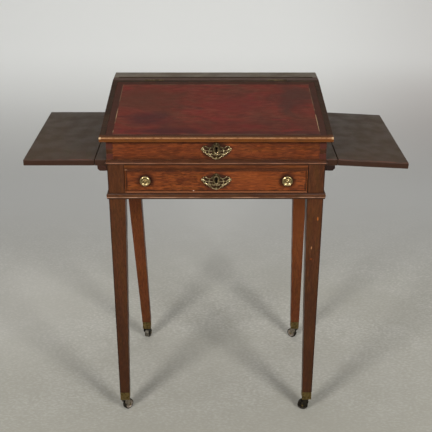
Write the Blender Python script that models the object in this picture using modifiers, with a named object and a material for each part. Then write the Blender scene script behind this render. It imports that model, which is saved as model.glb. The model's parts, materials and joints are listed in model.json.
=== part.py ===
"""Writing bureau: a sloping desk box on a drawer frame, with two drop leaves and cup castors.

Lengths are in metres, +Z is up and the front of the desk faces -Y. The origin lies on the floor,
under the middle of the desk.
"""
import math

import bmesh
import bpy
from mathutils import Matrix, Vector

# Clearances
GAP = 0.0003
RUNNING_GAP = 0.0006

# Frame and legs
CASE_WIDTH = 0.510
CASE_DEPTH = 0.375
FRIEZE_BOTTOM = 0.626
FRIEZE_HEIGHT = 0.088
LEG_TOP_WIDTH = 0.0395
LEG_FOOT_WIDTH = 0.0252
BACK_LEFT_LEAN = 0.0325
RAIL_THICKNESS = 0.018
TOP_RAIL_HEIGHT = 0.0143
BOTTOM_RAIL_HEIGHT = 0.0137

# Mouldings
BEAD_HEIGHT = 0.0128
BEAD_REACH = 0.0042
BEAD_LIP = 0.0013
WAIST_HEIGHT = 0.0112
WAIST_DROP = 0.0017
WAIST_REACH = 0.0040
WAIST_BEAD = 0.0034
WAIST_FILLET = 0.0008

# Desk box, lid and ledge
BOX_WALL = 0.0154
BOX_FLOOR = 0.008
TAIL_COUNT = 2
TAIL_WIDTH = 0.0165
TAIL_FLARE = 0.0022
LEDGE_RISE = 0.115
LEDGE_DEPTH = 0.0783
LEDGE_THICKNESS = 0.012
LEDGE_BACK_OVERHANG = 0.0065
PEN_GROOVE_SETBACK = 0.029
PEN_GROOVE_WIDTH = 0.0095
PEN_GROOVE_DEPTH = 0.005
PEN_GROOVE_STOP = 0.012
LID_SLOPE = math.radians(8.5)
LID_THICKNESS = 0.012
LID_NOSE_OVERHANG = 0.0177
LID_SIDE_OVERHANG = 0.0133
LID_JOINT = 0.0006
LEATHER_SIDE_MARGIN = 0.0134
LEATHER_FRONT_MARGIN = 0.0140
LEATHER_BACK_MARGIN = 0.0120
LEATHER_RECESS = 0.0015

# Drop leaves
LEAF_RISE = 0.0065
LEAF_THICKNESS = 0.014
LEAF_WIDTH = 0.166
LEAF_SETBACK = 0.0037
LEAF_JOINT = 0.0010
STRIP_WIDTH = 0.028
BEARER_WIDTH = 0.0228
BEARER_HEIGHT = 0.0128
BEARER_CHAMFER = 0.0053
LEFT_LEAF_DROOP = 0.0
RIGHT_LEAF_DROOP = math.radians(3.0)

# Props under the leaves
PROP_LENGTH = 0.085
PROP_THICKNESS = 0.012
PROP_WIDTH = 0.016
PROP_PIVOT_REACH = 0.0140
PROP_PIN_RADIUS = 0.0025
PROP_CHEEK = 0.012
PROP_BRACKET_FOOT = 0.012
PROP_BRACKET_CLEARANCE = 0.0057
PROP_BRACKET_BACK = 0.004
STOP_THICKNESS = 0.002
STOP_WIDTH = 0.012
STOP_CLEARANCE = 0.0008

# Hinges
KNUCKLE_CLEARANCE = 0.0003
HINGE_PIN_RADIUS = 0.0010
LEAF_KNUCKLE_RADIUS = 0.0024
LEAF_FLAP_THICKNESS = 0.0016
FLAP_SINK = 0.0002
FLAP_PROUD = 0.0003
LEAF_FLAP_WIDTH = 0.024
STRIP_FLAP_WIDTH = 0.020
LEAF_HINGE_LENGTH = 0.042
LEAF_HINGE_INSET = 0.070
LID_KNUCKLE_RADIUS = 0.0018
LID_FLAP_THICKNESS = 0.0014
LID_FLAP_WIDTH = 0.0105
LID_HINGE_LENGTH = 0.050
LID_HINGE_INSET = 0.1083

# Drawer
DRAWER_SIDE_CLEARANCE = 0.0008
DRAWER_FRONT_THICKNESS = 0.018
DRAWER_WALL = 0.009
DRAWER_WALL_DROP = 0.0088
DRAWER_BACK_CLEARANCE = 0.012
DRAWER_BOTTOM_THICKNESS = 0.006
DRAWER_BOTTOM_LIFT = 0.007
DRAWER_TAIL_COUNT = 3
DRAWER_TAIL_LENGTH = 0.0056
DRAWER_TAIL_WIDTH = 0.0112
DRAWER_TAIL_FLARE = 0.0013
COCKBEAD_WIDTH = 0.003
COCKBEAD_REACH = 0.002
COCKBEAD_DEPTH = 0.010
RUNNER_WIDTH = 0.016
GUIDE_HEIGHT = 0.016

# Brass furniture
KNOB_RADIUS = 0.0126
KNOB_REACH = 0.015
KNOB_INSET = 0.0482
KNOB_LIFT = 0.003
KNOB_SHANK_RADIUS = 0.0025
KNOB_SHANK_LENGTH = 0.013
ESCUTCHEON_WIDTH = 0.072
ESCUTCHEON_HEIGHT = 0.0412
ESCUTCHEON_THICKNESS = 0.0012
KEYHOLE_RISE = 0.0065
KEYHOLE_RADIUS = 0.0026
KEYHOLE_SLOT = 0.0030
KEYHOLE_DROP = 0.0084
KEYHOLE_PAST = 0.0030
UPPER_ESCUTCHEON_LIFT = 0.0018
LOWER_ESCUTCHEON_DROP = 0.0012

# Locks
LOCK_WIDTH = 0.050
LOCK_DEPTH = 0.013
LID_LOCK_HEIGHT = 0.030
LID_LOCK_TOP_CLEARANCE = 0.004
LID_BOLT_LENGTH = 0.016
LID_BOLT_HEIGHT = 0.0032
LID_BOLT_DEPTH = 0.0026
LID_BOLT_THROW = 0.0075
STAPLE_WALL = 0.0017
STAPLE_THICKNESS = 0.0024
STAPLE_DROP = 0.0135
STAPLE_EYE = 0.0046
STAPLE_CLEARANCE = 0.0020
LINK_PLATE_WIDTH = 0.034
LINK_PLATE_DEPTH = 0.012
LINK_PLATE_THICKNESS = 0.0015
DRAWER_LOCK_HEIGHT = 0.034
DRAWER_LOCK_TOP_CLEARANCE = 0.002
DRAWER_BOLT_WIDTH = 0.014
DRAWER_BOLT_DEPTH = 0.004
DRAWER_BOLT_LENGTH = 0.020
DRAWER_BOLT_THROW = 0.008

# Castors
CUP_WIDTH = 0.0242
CUP_BOTTOM = 0.038
CUP_HEIGHT = 0.0232
CUP_WALL = 0.0015
CUP_FLOOR = 0.0025
WHEEL_RADIUS = 0.014
WHEEL_WIDTH = 0.013
WHEEL_EASING = 0.0015
CASTOR_TRAIL = 0.0077
CASTOR_AXLE_RADIUS = 0.0022
CASTOR_STUD_RADIUS = 0.0026
CASTOR_STUD_HEAD = 0.0045
CASTOR_STUD_HEAD_HEIGHT = 0.0022
HORN_PLATE_RADIUS = 0.0085
HORN_PLATE_THICKNESS = 0.0042
HORN_CHEEK = 0.0020
HORN_CROWN = 0.0082
HORN_BOSS = 0.0038
CASTOR_TURNS = {
    "front_left": math.radians(48.0),
    "front_right": math.radians(165.0),
    "back_left": math.radians(72.0),
    "back_right": math.radians(137.0),
}

ROUND_STEPS = 24
SMALL_ROUND_STEPS = 12
ARC_STEPS = 6
CURVE_STEPS = 3

# Levels and planes worked out from the sizes above
FOOT_CENTRE = LEG_FOOT_WIDTH / 2
FRONT_OVERHANG = max(KNOB_REACH, LID_NOSE_OVERHANG)
BACK_OVERHANG = max(LEDGE_BACK_OVERHANG, CASTOR_TRAIL + WHEEL_RADIUS - FOOT_CENTRE)
FRONT = (FRONT_OVERHANG - CASE_DEPTH - BACK_OVERHANG) / 2
BACK = FRONT + CASE_DEPTH
FRIEZE_TOP = FRIEZE_BOTTOM + FRIEZE_HEIGHT
SIDE = CASE_WIDTH / 2
OPENING_HALF = SIDE - LEG_TOP_WIDTH
OPENING_BOTTOM = FRIEZE_BOTTOM + BOTTOM_RAIL_HEIGHT
OPENING_TOP = FRIEZE_TOP - TOP_RAIL_HEIGHT
BOX_BOTTOM = FRIEZE_TOP + GAP
LEDGE_TOP = FRIEZE_TOP + LEDGE_RISE
LEDGE_BACK = BACK + LEDGE_BACK_OVERHANG
HINGE_LINE = LEDGE_BACK - LEDGE_DEPTH
LID_HALF = SIDE + LID_SIDE_OVERHANG
LID_LENGTH = (HINGE_LINE - FRONT + LID_NOSE_OVERHANG) / math.cos(LID_SLOPE)
LEAF_TOP = FRIEZE_TOP + LEAF_RISE
LEAF_UNDER = LEAF_TOP - LEAF_THICKNESS
LEAF_FRONT = FRONT + LEAF_SETBACK
LEAF_AXIS = SIDE + GAP + STRIP_WIDTH + LEAF_JOINT / 2
LEAF_MIDDLE = (LEAF_FRONT + BACK) / 2
DRAWER_BOTTOM = OPENING_BOTTOM + RUNNING_GAP
DRAWER_TOP = OPENING_TOP - RUNNING_GAP
DRAWER_MIDDLE = (DRAWER_BOTTOM + DRAWER_TOP) / 2
DRAWER_HALF = OPENING_HALF - DRAWER_SIDE_CLEARANCE
DRAWER_LENGTH = CASE_DEPTH - RAIL_THICKNESS - DRAWER_BACK_CLEARANCE
KNOB_PLACE = DRAWER_HALF - KNOB_INSET
KNOB_HEIGHT = DRAWER_MIDDLE + KNOB_LIFT
LOWER_ESCUTCHEON_HEIGHT = DRAWER_MIDDLE - LOWER_ESCUTCHEON_DROP
PROP_PIVOT_HEIGHT = FRIEZE_BOTTOM + BEAD_HEIGHT + PROP_BRACKET_CLEARANCE + PROP_BRACKET_FOOT
PROP_PIVOT_DROP = LEAF_UNDER - PROP_PIVOT_HEIGHT
CUP_TOP = CUP_BOTTOM + CUP_HEIGHT
CORNERS = {
    "front_left": (-1, FRONT, 1, 0.0),
    "front_right": (1, FRONT, 1, 0.0),
    "back_left": (-1, BACK, -1, BACK_LEFT_LEAN),
    "back_right": (1, BACK, -1, 0.0),
}

# Frames for flat outlines: the outline's two directions and its thickness
ALONG_X = Matrix(((0, 0, 1), (1, 0, 0), (0, 1, 0))).to_4x4()
ALONG_Y = Matrix(((1, 0, 0), (0, 0, -1), (0, 1, 0))).to_4x4()
ALONG_Z = Matrix.Identity(4)


def new_collection(name):
    collection = bpy.data.collections.new(name)
    bpy.context.scene.collection.children.link(collection)
    return collection


def finish(name, colour, roughness, metallic=0.0):
    """A plain surface: base colour, roughness and metal or not."""
    made = bpy.data.materials.new(name)
    made.use_nodes = True
    shader = made.node_tree.nodes["Principled BSDF"]
    shader.inputs["Base Color"].default_value = (*colour, 1.0)
    shader.inputs["Roughness"].default_value = roughness
    shader.inputs["Metallic"].default_value = metallic
    made.diffuse_color = (*colour, 1.0)
    return made


for old in list(bpy.data.objects):
    bpy.data.objects.remove(old, do_unlink=True)

PARTS = new_collection("writing_bureau")
CUTTERS = new_collection("cutters")

MAHOGANY = finish("mahogany", (0.30, 0.10, 0.035), 0.35)
DARK_MAHOGANY = finish("dark_mahogany", (0.12, 0.045, 0.02), 0.30)
PALE_WOOD = finish("pale_wood", (0.42, 0.26, 0.13), 0.60)
LEATHER = finish("leather", (0.16, 0.025, 0.02), 0.50)
BRASS = finish("brass", (0.45, 0.33, 0.12), 0.40, 1.0)
DARK_BRASS = finish("dark_brass", (0.12, 0.09, 0.05), 0.50, 1.0)
IRON = finish("iron", (0.10, 0.09, 0.085), 0.50, 1.0)


def place(ob, surface, matrix, parent):
    """Puts an object in the part, or among the cutters when it has no surface."""
    if surface is None:
        CUTTERS.objects.link(ob)
        ob.hide_render = True
        ob.display_type = "WIRE"
    else:
        PARTS.objects.link(ob)
        ob.data.materials.clear()
        ob.data.materials.append(surface)
    ob.parent = parent
    ob.matrix_local = matrix
    return ob


def mesh_object(name, bm, surface, matrix=ALONG_Z, parent=None):
    bmesh.ops.remove_doubles(bm, verts=bm.verts, dist=1e-6)
    bmesh.ops.recalc_face_normals(bm, faces=bm.faces)
    mesh = bpy.data.meshes.new(name)
    bm.to_mesh(mesh)
    bm.free()
    return place(bpy.data.objects.new(name, mesh), surface, matrix, parent)


def settled_mesh(ob):
    """The mesh that an object shows with its modifiers."""
    bpy.context.view_layer.update()
    graph = bpy.context.evaluated_depsgraph_get()
    return bpy.data.meshes.new_from_object(ob.evaluated_get(graph))


def kept_mesh(ob, tools):
    """An object's finished mesh in world coordinates; the object and its tools are removed."""
    mesh = settled_mesh(ob)
    mesh.transform(ob.matrix_world)
    for spent in [ob] + tools:
        bpy.data.objects.remove(spent, do_unlink=True)
    return mesh


def settle(ob):
    mesh = settled_mesh(ob)
    ob.modifiers.clear()
    ob.data = mesh
    return ob


def combine(ob, tools, operation="DIFFERENCE"):
    """Cuts the tools out of an object, or joins them to it, and keeps the result."""
    for tool in tools:
        boolean = ob.modifiers.new(operation.lower(), "BOOLEAN")
        boolean.operation = operation
        boolean.solver = "EXACT"
        boolean.object = tool
    return ob


def box(name, low, high, surface, parent=None):
    """A block between two opposite corners."""
    low = Vector(low)
    high = Vector(high)
    bm = bmesh.new()
    bmesh.ops.create_cube(bm, size=1.0, matrix=Matrix.Diagonal((*(high - low), 1.0)))
    return mesh_object(name, bm, surface, Matrix.Translation((low + high) / 2), parent)


def cylinder(name, radius, start, end, surface, steps=SMALL_ROUND_STEPS, parent=None):
    """A round bar between two points."""
    start = Vector(start)
    end = Vector(end)
    bm = bmesh.new()
    bmesh.ops.create_cone(
        bm,
        cap_ends=True,
        segments=steps,
        radius1=radius,
        radius2=radius,
        depth=(end - start).length,
    )
    turn = Vector((0, 0, 1)).rotation_difference(end - start).to_matrix().to_4x4()
    return mesh_object(name, bm, surface, Matrix.Translation((start + end) / 2) @ turn, parent)


def flat_outline(name, outline, thickness, surface, matrix, parent=None):
    """A plate of the given thickness, cut to a closed outline of straight edges."""
    bm = bmesh.new()
    face = bm.faces.new([bm.verts.new((u, v, -thickness / 2)) for u, v in outline])
    made = bmesh.ops.extrude_face_region(bm, geom=[face])
    lifted = [item for item in made["geom"] if isinstance(item, bmesh.types.BMVert)]
    bmesh.ops.translate(bm, vec=(0.0, 0.0, thickness), verts=lifted)
    return mesh_object(name, bm, surface, matrix, parent)


def pierced_plate(name, loops, thickness, surface, matrix, parent=None):
    """A plate with holes, cut along smooth curves: the first loop is its edge, the others its holes."""
    curve = bpy.data.curves.new(name, "CURVE")
    curve.dimensions = "2D"
    curve.fill_mode = "BOTH"
    curve.extrude = thickness / 2
    curve.resolution_u = CURVE_STEPS
    curve.render_resolution_u = CURVE_STEPS
    for points in loops:
        spline = curve.splines.new("BEZIER")
        spline.bezier_points.add(len(points) - 1)
        for knot, (u, v) in zip(spline.bezier_points, points):
            knot.co = (u, v, 0.0)
            knot.handle_left_type = "AUTO"
            knot.handle_right_type = "AUTO"
        spline.use_cyclic_u = True
    draft = bpy.data.objects.new(name, curve)
    CUTTERS.objects.link(draft)
    mesh = settled_mesh(draft)
    bpy.data.objects.remove(draft, do_unlink=True)
    bpy.data.curves.remove(curve)
    bm = bmesh.new()
    bm.from_mesh(mesh)
    bpy.data.meshes.remove(mesh)
    return mesh_object(name, bm, surface, matrix, parent)


def loft(name, rings, surface, endless=False, parent=None):
    """A skin over rings with equal numbers of points, closed by end faces or, if endless, on itself."""
    bm = bmesh.new()
    loops = [[bm.verts.new(point) for point in ring] for ring in rings]
    count = len(loops[0])
    pairs = list(zip(loops, loops[1:]))
    if endless:
        pairs.append((loops[-1], loops[0]))
    for lower, upper in pairs:
        for i in range(count):
            j = (i + 1) % count
            bm.faces.new((lower[i], lower[j], upper[j], upper[i]))
    if not endless:
        bm.faces.new(loops[0])
        bm.faces.new(loops[-1])
    return mesh_object(name, bm, surface, ALONG_Z, parent)


def turned(name, profile, surface, matrix=ALONG_Z, parent=None, steps=ROUND_STEPS):
    """A shape turned about its local Z axis from (radius, height) points, top to bottom."""
    bm = bmesh.new()
    verts = [bm.verts.new((radius, 0.0, height)) for radius, height in profile]
    for a, b in zip(verts, verts[1:]):
        bm.edges.new((a, b))
    if profile[0][0] > 0.0:
        bm.edges.new((verts[-1], verts[0]))
    mesh = bpy.data.meshes.new(name)
    bm.to_mesh(mesh)
    bm.free()
    ob = place(bpy.data.objects.new(name, mesh), surface, matrix, parent)
    screw = ob.modifiers.new("turn", "SCREW")
    screw.axis = "Z"
    screw.angle = math.tau
    screw.steps = steps
    screw.render_steps = steps
    screw.use_merge_vertices = True
    screw.merge_threshold = 1e-6
    settle(ob)
    bm = bmesh.new()
    bm.from_mesh(ob.data)
    bmesh.ops.remove_doubles(bm, verts=bm.verts, dist=1e-6)
    bmesh.ops.recalc_face_normals(bm, faces=bm.faces)
    bm.to_mesh(ob.data)
    bm.free()
    ob.data.shade_smooth()
    ob.data.set_sharp_from_angle(angle=math.radians(35.0))
    return ob


def joint(name, location, rotation=(0.0, 0.0, 0.0), parent=None):
    """An empty on a joint's axis, which carries the pieces that move there."""
    empty = bpy.data.objects.new(name, None)
    PARTS.objects.link(empty)
    empty.parent = parent
    empty.location = location
    empty.rotation_euler = rotation
    return empty


def arc(centre, radius, start, end, steps):
    """Points along an arc, its angles in degrees."""
    angles = [math.radians(start + (end - start) * i / steps) for i in range(steps + 1)]
    return [(centre[0] + radius * math.cos(a), centre[1] + radius * math.sin(a)) for a in angles]


def tapered_link(start, start_radius, end, end_radius, steps):
    """The outline of a link with two round ends, like a belt round two pulleys."""
    along = Vector(end) - Vector(start)
    heading = math.degrees(math.atan2(along.y, along.x))
    lean = math.degrees(math.acos((start_radius - end_radius) / along.length))
    first = arc(start, start_radius, heading + lean, heading + 360.0 - lean, steps)
    second = arc(end, end_radius, heading - lean, heading + lean, steps)
    return first + second


def square_ring(outer_x, outer_y, toward_x, toward_y, inset, width, z):
    """A square section at height z, measured inward from a corner's two outer faces."""
    near_x = outer_x + toward_x * inset
    near_y = outer_y + toward_y * inset
    far_x = near_x + toward_x * width
    far_y = near_y + toward_y * width
    return [(near_x, near_y, z), (far_x, near_y, z), (far_x, far_y, z), (near_x, far_y, z)]


def make_leg(corner):
    """A corner post that tapers on its two inner faces below the frame, with a foot for the cup."""
    side, face, inward, lean = CORNERS[corner]
    tenon = CUP_WIDTH - 2 * (CUP_WALL + GAP)
    tenon_inset = (LEG_FOOT_WIDTH - tenon) / 2
    tenon_bottom = CUP_BOTTOM + CUP_FLOOR + GAP
    shoulder = CUP_TOP + GAP
    foot = side * SIDE + lean
    rings = [
        square_ring(foot, face, -side, inward, tenon_inset, tenon, tenon_bottom),
        square_ring(foot, face, -side, inward, tenon_inset, tenon, shoulder),
        square_ring(foot, face, -side, inward, 0.0, LEG_FOOT_WIDTH, shoulder),
        square_ring(side * SIDE, face, -side, inward, 0.0, LEG_TOP_WIDTH, FRIEZE_BOTTOM),
        square_ring(side * SIDE, face, -side, inward, 0.0, LEG_TOP_WIDTH, FRIEZE_TOP),
    ]
    return loft("leg_" + corner, rings, DARK_MAHOGANY)


def make_frame():
    """The rails between the legs."""
    span = OPENING_HALF - GAP
    rail_back = FRONT + LEG_TOP_WIDTH
    low = (-span, FRONT, FRIEZE_BOTTOM)
    box("front_bottom_rail", low, (span, rail_back, OPENING_BOTTOM), MAHOGANY)
    top_rail = box("front_top_rail", (-span, FRONT, OPENING_TOP), (span, rail_back, FRIEZE_TOP), MAHOGANY)
    bolt_middle = FRONT + DRAWER_FRONT_THICKNESS + GAP + LOCK_DEPTH / 2
    bolt_reach = DRAWER_TOP - DRAWER_LOCK_TOP_CLEARANCE + DRAWER_BOLT_THROW
    mortise_half = (DRAWER_BOLT_WIDTH / 2 + RUNNING_GAP, DRAWER_BOLT_DEPTH / 2 + RUNNING_GAP)
    mortise = box(
        "bolt_mortise",
        (-mortise_half[0], bolt_middle - mortise_half[1], OPENING_TOP - RUNNING_GAP),
        (mortise_half[0], bolt_middle + mortise_half[1], bolt_reach + RUNNING_GAP),
        None,
    )
    combine(top_rail, [mortise])
    low = (-span, BACK - RAIL_THICKNESS, FRIEZE_BOTTOM)
    box("back_rail", low, (span, BACK, FRIEZE_TOP), MAHOGANY)
    near = FRONT + LEG_TOP_WIDTH + GAP
    far = BACK - LEG_TOP_WIDTH - GAP
    inner = SIDE - RAIL_THICKNESS
    box("side_rail_left", (-SIDE, near, FRIEZE_BOTTOM), (-inner, far, FRIEZE_TOP), MAHOGANY)
    box("side_rail_right", (inner, near, FRIEZE_BOTTOM), (SIDE, far, FRIEZE_TOP), MAHOGANY)


def moulding(name, profile, back, surface):
    """A moulding planted round the front of the frame, mitred, that returns along both sides to back.

    The profile holds (reach, height) points; its inner face stands clear of the frame.
    """
    outer = []
    for reach, height in profile:
        x = SIDE + GAP + reach
        y = FRONT - GAP - reach
        outer.append([(-x, back, height), (-x, y, height), (x, y, height), (x, back, height)])
    inner_x = SIDE + GAP
    inner_y = FRONT - GAP
    inner = []
    for height in (profile[-1][1], profile[0][1]):
        left = [(-inner_x, back, height), (-inner_x, inner_y, height)]
        right = [(inner_x, inner_y, height), (inner_x, back, height)]
        inner.append(left + right)
    rows = outer + inner
    stations = [[row[i] for row in rows] for i in range(4)]
    return loft(name, stations, surface)


def make_mouldings():
    """The bead round the bottom of the frame and the cove with its bead at the waist."""
    middle = FRIEZE_BOTTOM + BEAD_HEIGHT / 2
    swell = BEAD_REACH - BEAD_LIP
    bead = []
    for i in range(ARC_STEPS + 1):
        turn = math.pi * (i / ARC_STEPS - 0.5)
        bead.append((BEAD_LIP + swell * math.cos(turn), middle + BEAD_HEIGHT / 2 * math.sin(turn)))
    moulding("base_bead", bead, BACK, MAHOGANY)
    low = FRIEZE_TOP - WAIST_DROP
    high = low + WAIST_HEIGHT
    radius = WAIST_BEAD / 2
    shoulder = WAIST_REACH - radius
    waist = arc((shoulder, low + radius), radius, -90.0, 90.0, ARC_STEPS)
    run = shoulder - WAIST_FILLET
    rise = high - low - WAIST_BEAD - WAIST_FILLET
    for i in range(1, ARC_STEPS + 1):
        turn = math.pi / 2 * i / ARC_STEPS
        reach = WAIST_FILLET + run * (1.0 - math.sin(turn))
        waist.append((reach, low + WAIST_BEAD + rise * (1.0 - math.cos(turn))))
    waist.append((WAIST_FILLET, high))
    moulding("waist_moulding", waist, LEAF_FRONT - GAP, MAHOGANY)


def lid_under(y):
    """Height of the closed lid's underside."""
    return LEDGE_TOP - (HINGE_LINE - y) * math.tan(LID_SLOPE) - LID_THICKNESS / math.cos(LID_SLOPE)


def dovetails(low, high, count, shape, start, end, clearance=0.0):
    """Evenly spaced tails between two heights, as (y, z) outlines from start to end.

    The shape gives a tail's width at its tip, how much each side narrows to its root, and where in y
    the tip and the root are.
    """
    width, flare, tip, root = shape
    pitch = (high - low) / count
    near, far = (width / 2 + clearance - flare * (y - tip) / (root - tip) for y in (start, end))
    outlines = []
    for i in range(count):
        middle = low + pitch * (i + 0.5)
        lower = [(end, middle - far), (start, middle - near)]
        outlines.append(lower + [(start, middle + near), (end, middle + far)])
    return outlines


def socket_cutters(name, outlines, face, depth, parent=None):
    """Cutters for tails at both ends of a board, from its end faces in to the given depth."""
    cutters = []
    for side in (-1, 1):
        matrix = Matrix.Translation((side * face, 0.0, 0.0)) @ ALONG_X
        for i, outline in enumerate(outlines):
            cutters.append(flat_outline(f"{name}_{side}_{i}", outline, 2 * depth, None, matrix, parent))
    return cutters


def make_desk_box(upper_keyhole):
    """The dovetailed box under the lid and its floor."""
    root = FRONT + BOX_WALL + GAP
    roof = LEDGE_TOP - LEDGE_THICKNESS - GAP
    shape = (TAIL_WIDTH, TAIL_FLARE, FRONT, root)
    rise = (BOX_BOTTOM, lid_under(FRONT), TAIL_COUNT, shape)
    outline = [(root, BOX_BOTTOM)]
    for tail in dovetails(*rise, FRONT, root):
        outline += tail
    outline += [(root, lid_under(root) - GAP), (HINGE_LINE, lid_under(HINGE_LINE) - GAP)]
    outline += [(HINGE_LINE + RUNNING_GAP, roof), (BACK, roof), (BACK, BOX_BOTTOM)]
    middle = SIDE - BOX_WALL / 2
    for name, side in (("left", -1), ("right", 1)):
        matrix = Matrix.Translation((side * middle, 0.0, 0.0)) @ ALONG_X
        flat_outline("box_side_" + name, outline, BOX_WALL, MAHOGANY, matrix)
    rear = FRONT + BOX_WALL
    section = [(FRONT, BOX_BOTTOM), (rear, BOX_BOTTOM)]
    section += [(rear, lid_under(rear) - GAP), (FRONT, lid_under(FRONT) - GAP)]
    front = flat_outline("box_front", section, CASE_WIDTH, MAHOGANY, ALONG_X)
    tails = dovetails(*rise, FRONT - RUNNING_GAP, root + RUNNING_GAP, GAP)
    sockets = socket_cutters("tail_socket", tails, SIDE, BOX_WALL + GAP)
    combine(front, sockets + [upper_keyhole])
    inner = SIDE - BOX_WALL - GAP
    box("box_back", (-inner, BACK - BOX_WALL, BOX_BOTTOM), (inner, BACK, roof), MAHOGANY)
    floor_back = BACK - BOX_WALL - GAP
    box("box_floor", (-inner, root, BOX_BOTTOM), (inner, floor_back, BOX_BOTTOM + BOX_FLOOR), PALE_WOOD)


def make_ledge():
    """The fixed board behind the lid, with its pen groove."""
    low = (-LID_HALF, HINGE_LINE + LID_JOINT, LEDGE_TOP - LEDGE_THICKNESS)
    ledge = box("pen_ledge", low, (LID_HALF, LEDGE_BACK, LEDGE_TOP), DARK_MAHOGANY)
    centre = HINGE_LINE + PEN_GROOVE_SETBACK
    half = LID_HALF - PEN_GROOVE_STOP - PEN_GROOVE_WIDTH / 2
    radius = PEN_GROOVE_WIDTH / 2
    loop = arc((half, centre), radius, -90.0, 90.0, ARC_STEPS)
    loop += arc((-half, centre), radius, 90.0, 270.0, ARC_STEPS)
    depth = PEN_GROOVE_DEPTH
    groove = flat_outline("pen_groove", loop, 2 * depth, None, Matrix.Translation((0.0, 0.0, LEDGE_TOP)))
    return combine(ledge, [groove] + lid_hinge_cutters("ledge", 1, None))


def make_lid():
    """The lid board with its rounded nose, and the leather let into it."""
    hinge = joint("joint_lid", (0.0, HINGE_LINE, LEDGE_TOP), (LID_SLOPE, 0.0, 0.0))
    radius = LID_THICKNESS / 2
    back = -LID_JOINT
    section = [(back, 0.0)]
    section += arc((radius - LID_LENGTH, -radius), radius, 90.0, 270.0, 2 * ARC_STEPS)
    section.append((back - LID_THICKNESS * math.tan(LID_SLOPE), -LID_THICKNESS))
    lid = flat_outline("lid_board", section, 2 * LID_HALF, DARK_MAHOGANY, ALONG_X, hinge)
    half = LID_HALF - LEATHER_SIDE_MARGIN
    front = LEATHER_FRONT_MARGIN - LID_LENGTH
    rear = -LEATHER_BACK_MARGIN
    low = (-half, front, -LEATHER_RECESS)
    recess = box("leather_recess", low, (half, rear, LEATHER_RECESS), None, hinge)
    combine(lid, [recess] + lid_hinge_cutters("lid", -1, hinge))
    low = (GAP - half, front + GAP, GAP - LEATHER_RECESS)
    box("lid_leather", low, (half - GAP, rear - GAP, 0.0), LEATHER, hinge)
    return hinge


def hinge_plate(name, length, fingers, lead, width, offset, thickness):
    """A hinge flap in hinge coordinates: X along the pin, Y out over the wood, Z through the flap."""
    edge = [(-length / 2, width), (-length / 2, lead)]
    for start, end in fingers:
        edge += [(start, lead), (start, 0.0), (end, 0.0), (end, lead)]
    edge += [(length / 2, lead), (length / 2, width)]
    matrix = Matrix.Translation((0.0, 0.0, offset + thickness / 2))
    return flat_outline(name, edge, thickness, None, matrix)


def knuckle_spans(length):
    """The pin's outer two knuckles and its middle one, as spans along the pin."""
    third = length / 3
    middle = (-third / 2 + KNUCKLE_CLEARANCE / 2, third / 2 - KNUCKLE_CLEARANCE / 2)
    outer = [(-length / 2, middle[0] - KNUCKLE_CLEARANCE), (middle[1] + KNUCKLE_CLEARANCE, length / 2)]
    return outer, middle


def hinge_half(name, length, radius, width, offset, thickness, fixed):
    """One half of a butt hinge, as a mesh: the fixed half has the outer knuckles and the pin."""
    outer, middle = knuckle_spans(length)
    lead = radius + KNUCKLE_CLEARANCE
    pin = HINGE_PIN_RADIUS
    if fixed:
        inset = length / 2 - KNUCKLE_CLEARANCE
        fingers = [(-inset, outer[0][1] - KNUCKLE_CLEARANCE), (outer[1][0] + KNUCKLE_CLEARANCE, inset)]
    else:
        fingers = [(middle[0] + KNUCKLE_CLEARANCE, middle[1] - KNUCKLE_CLEARANCE)]
    half = hinge_plate(name, length, fingers, lead, width, offset, thickness)
    if fixed:
        profile = [(0.0, length / 2), (radius, length / 2), (radius, outer[1][0]), (pin, outer[1][0])]
        profile += [(pin, outer[0][1]), (radius, outer[0][1]), (radius, -length / 2), (0.0, -length / 2)]
        along_pin = Matrix.Rotation(math.pi / 2, 4, "Y")
        tools = [turned(name + "_pin", profile, None, along_pin, None, SMALL_ROUND_STEPS)]
        combine(half, tools, "UNION")
    else:
        knuckle = cylinder(name + "_knuckle", radius, (middle[0], 0, 0), (middle[1], 0, 0), None)
        bore = cylinder(name + "_bore", pin + KNUCKLE_CLEARANCE, (-length, 0, 0), (length, 0, 0), None)
        tools = [knuckle, bore]
        combine(half, [knuckle], "UNION")
        combine(half, [bore])
    return kept_mesh(half, tools)


def frame_of(origin, pin, out, through):
    """The matrix from hinge coordinates to the given directions at an origin."""
    matrix = Matrix((pin, out, through)).transposed().to_4x4()
    matrix.translation = origin
    return matrix


def lid_hinge_places():
    place_out = LID_HALF - LID_HINGE_INSET
    return (-place_out, place_out)


def lid_hinge_cutters(name, side, parent):
    """Housings for the lid hinges in the ledge (side 1) or the lid (side -1)."""
    cutters = []
    radius = LID_KNUCKLE_RADIUS + KNUCKLE_CLEARANCE
    half = LID_HINGE_LENGTH / 2 + GAP
    origin = Vector((0.0, HINGE_LINE, LEDGE_TOP)) if parent is None else Vector((0.0, 0.0, 0.0))
    turn = Matrix.Identity(3) if parent is None else Matrix.Rotation(-LID_SLOPE, 3, "X")
    deep = LID_JOINT + LID_FLAP_THICKNESS + GAP
    for i, x in enumerate(lid_hinge_places()):
        place_at = origin + Vector((x, 0.0, 0.0))
        ends = (place_at - Vector((half, 0.0, 0.0)), place_at + Vector((half, 0.0, 0.0)))
        barrel = cylinder(f"{name}_barrel_{i}", radius, *ends, None, SMALL_ROUND_STEPS, parent)
        out = turn @ Vector((0, 0, -1))
        through = turn @ Vector((0, side, 0))
        matrix = frame_of(place_at, Vector((1, 0, 0)), out, through)
        loop = [(-half, 0.0), (half, 0.0), (half, LID_FLAP_WIDTH + GAP), (-half, LID_FLAP_WIDTH + GAP)]
        matrix = matrix @ Matrix.Translation((0.0, 0.0, deep / 2))
        cutters += [barrel, flat_outline(f"{name}_flap_{i}", loop, deep, None, matrix, parent)]
    return cutters


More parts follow.
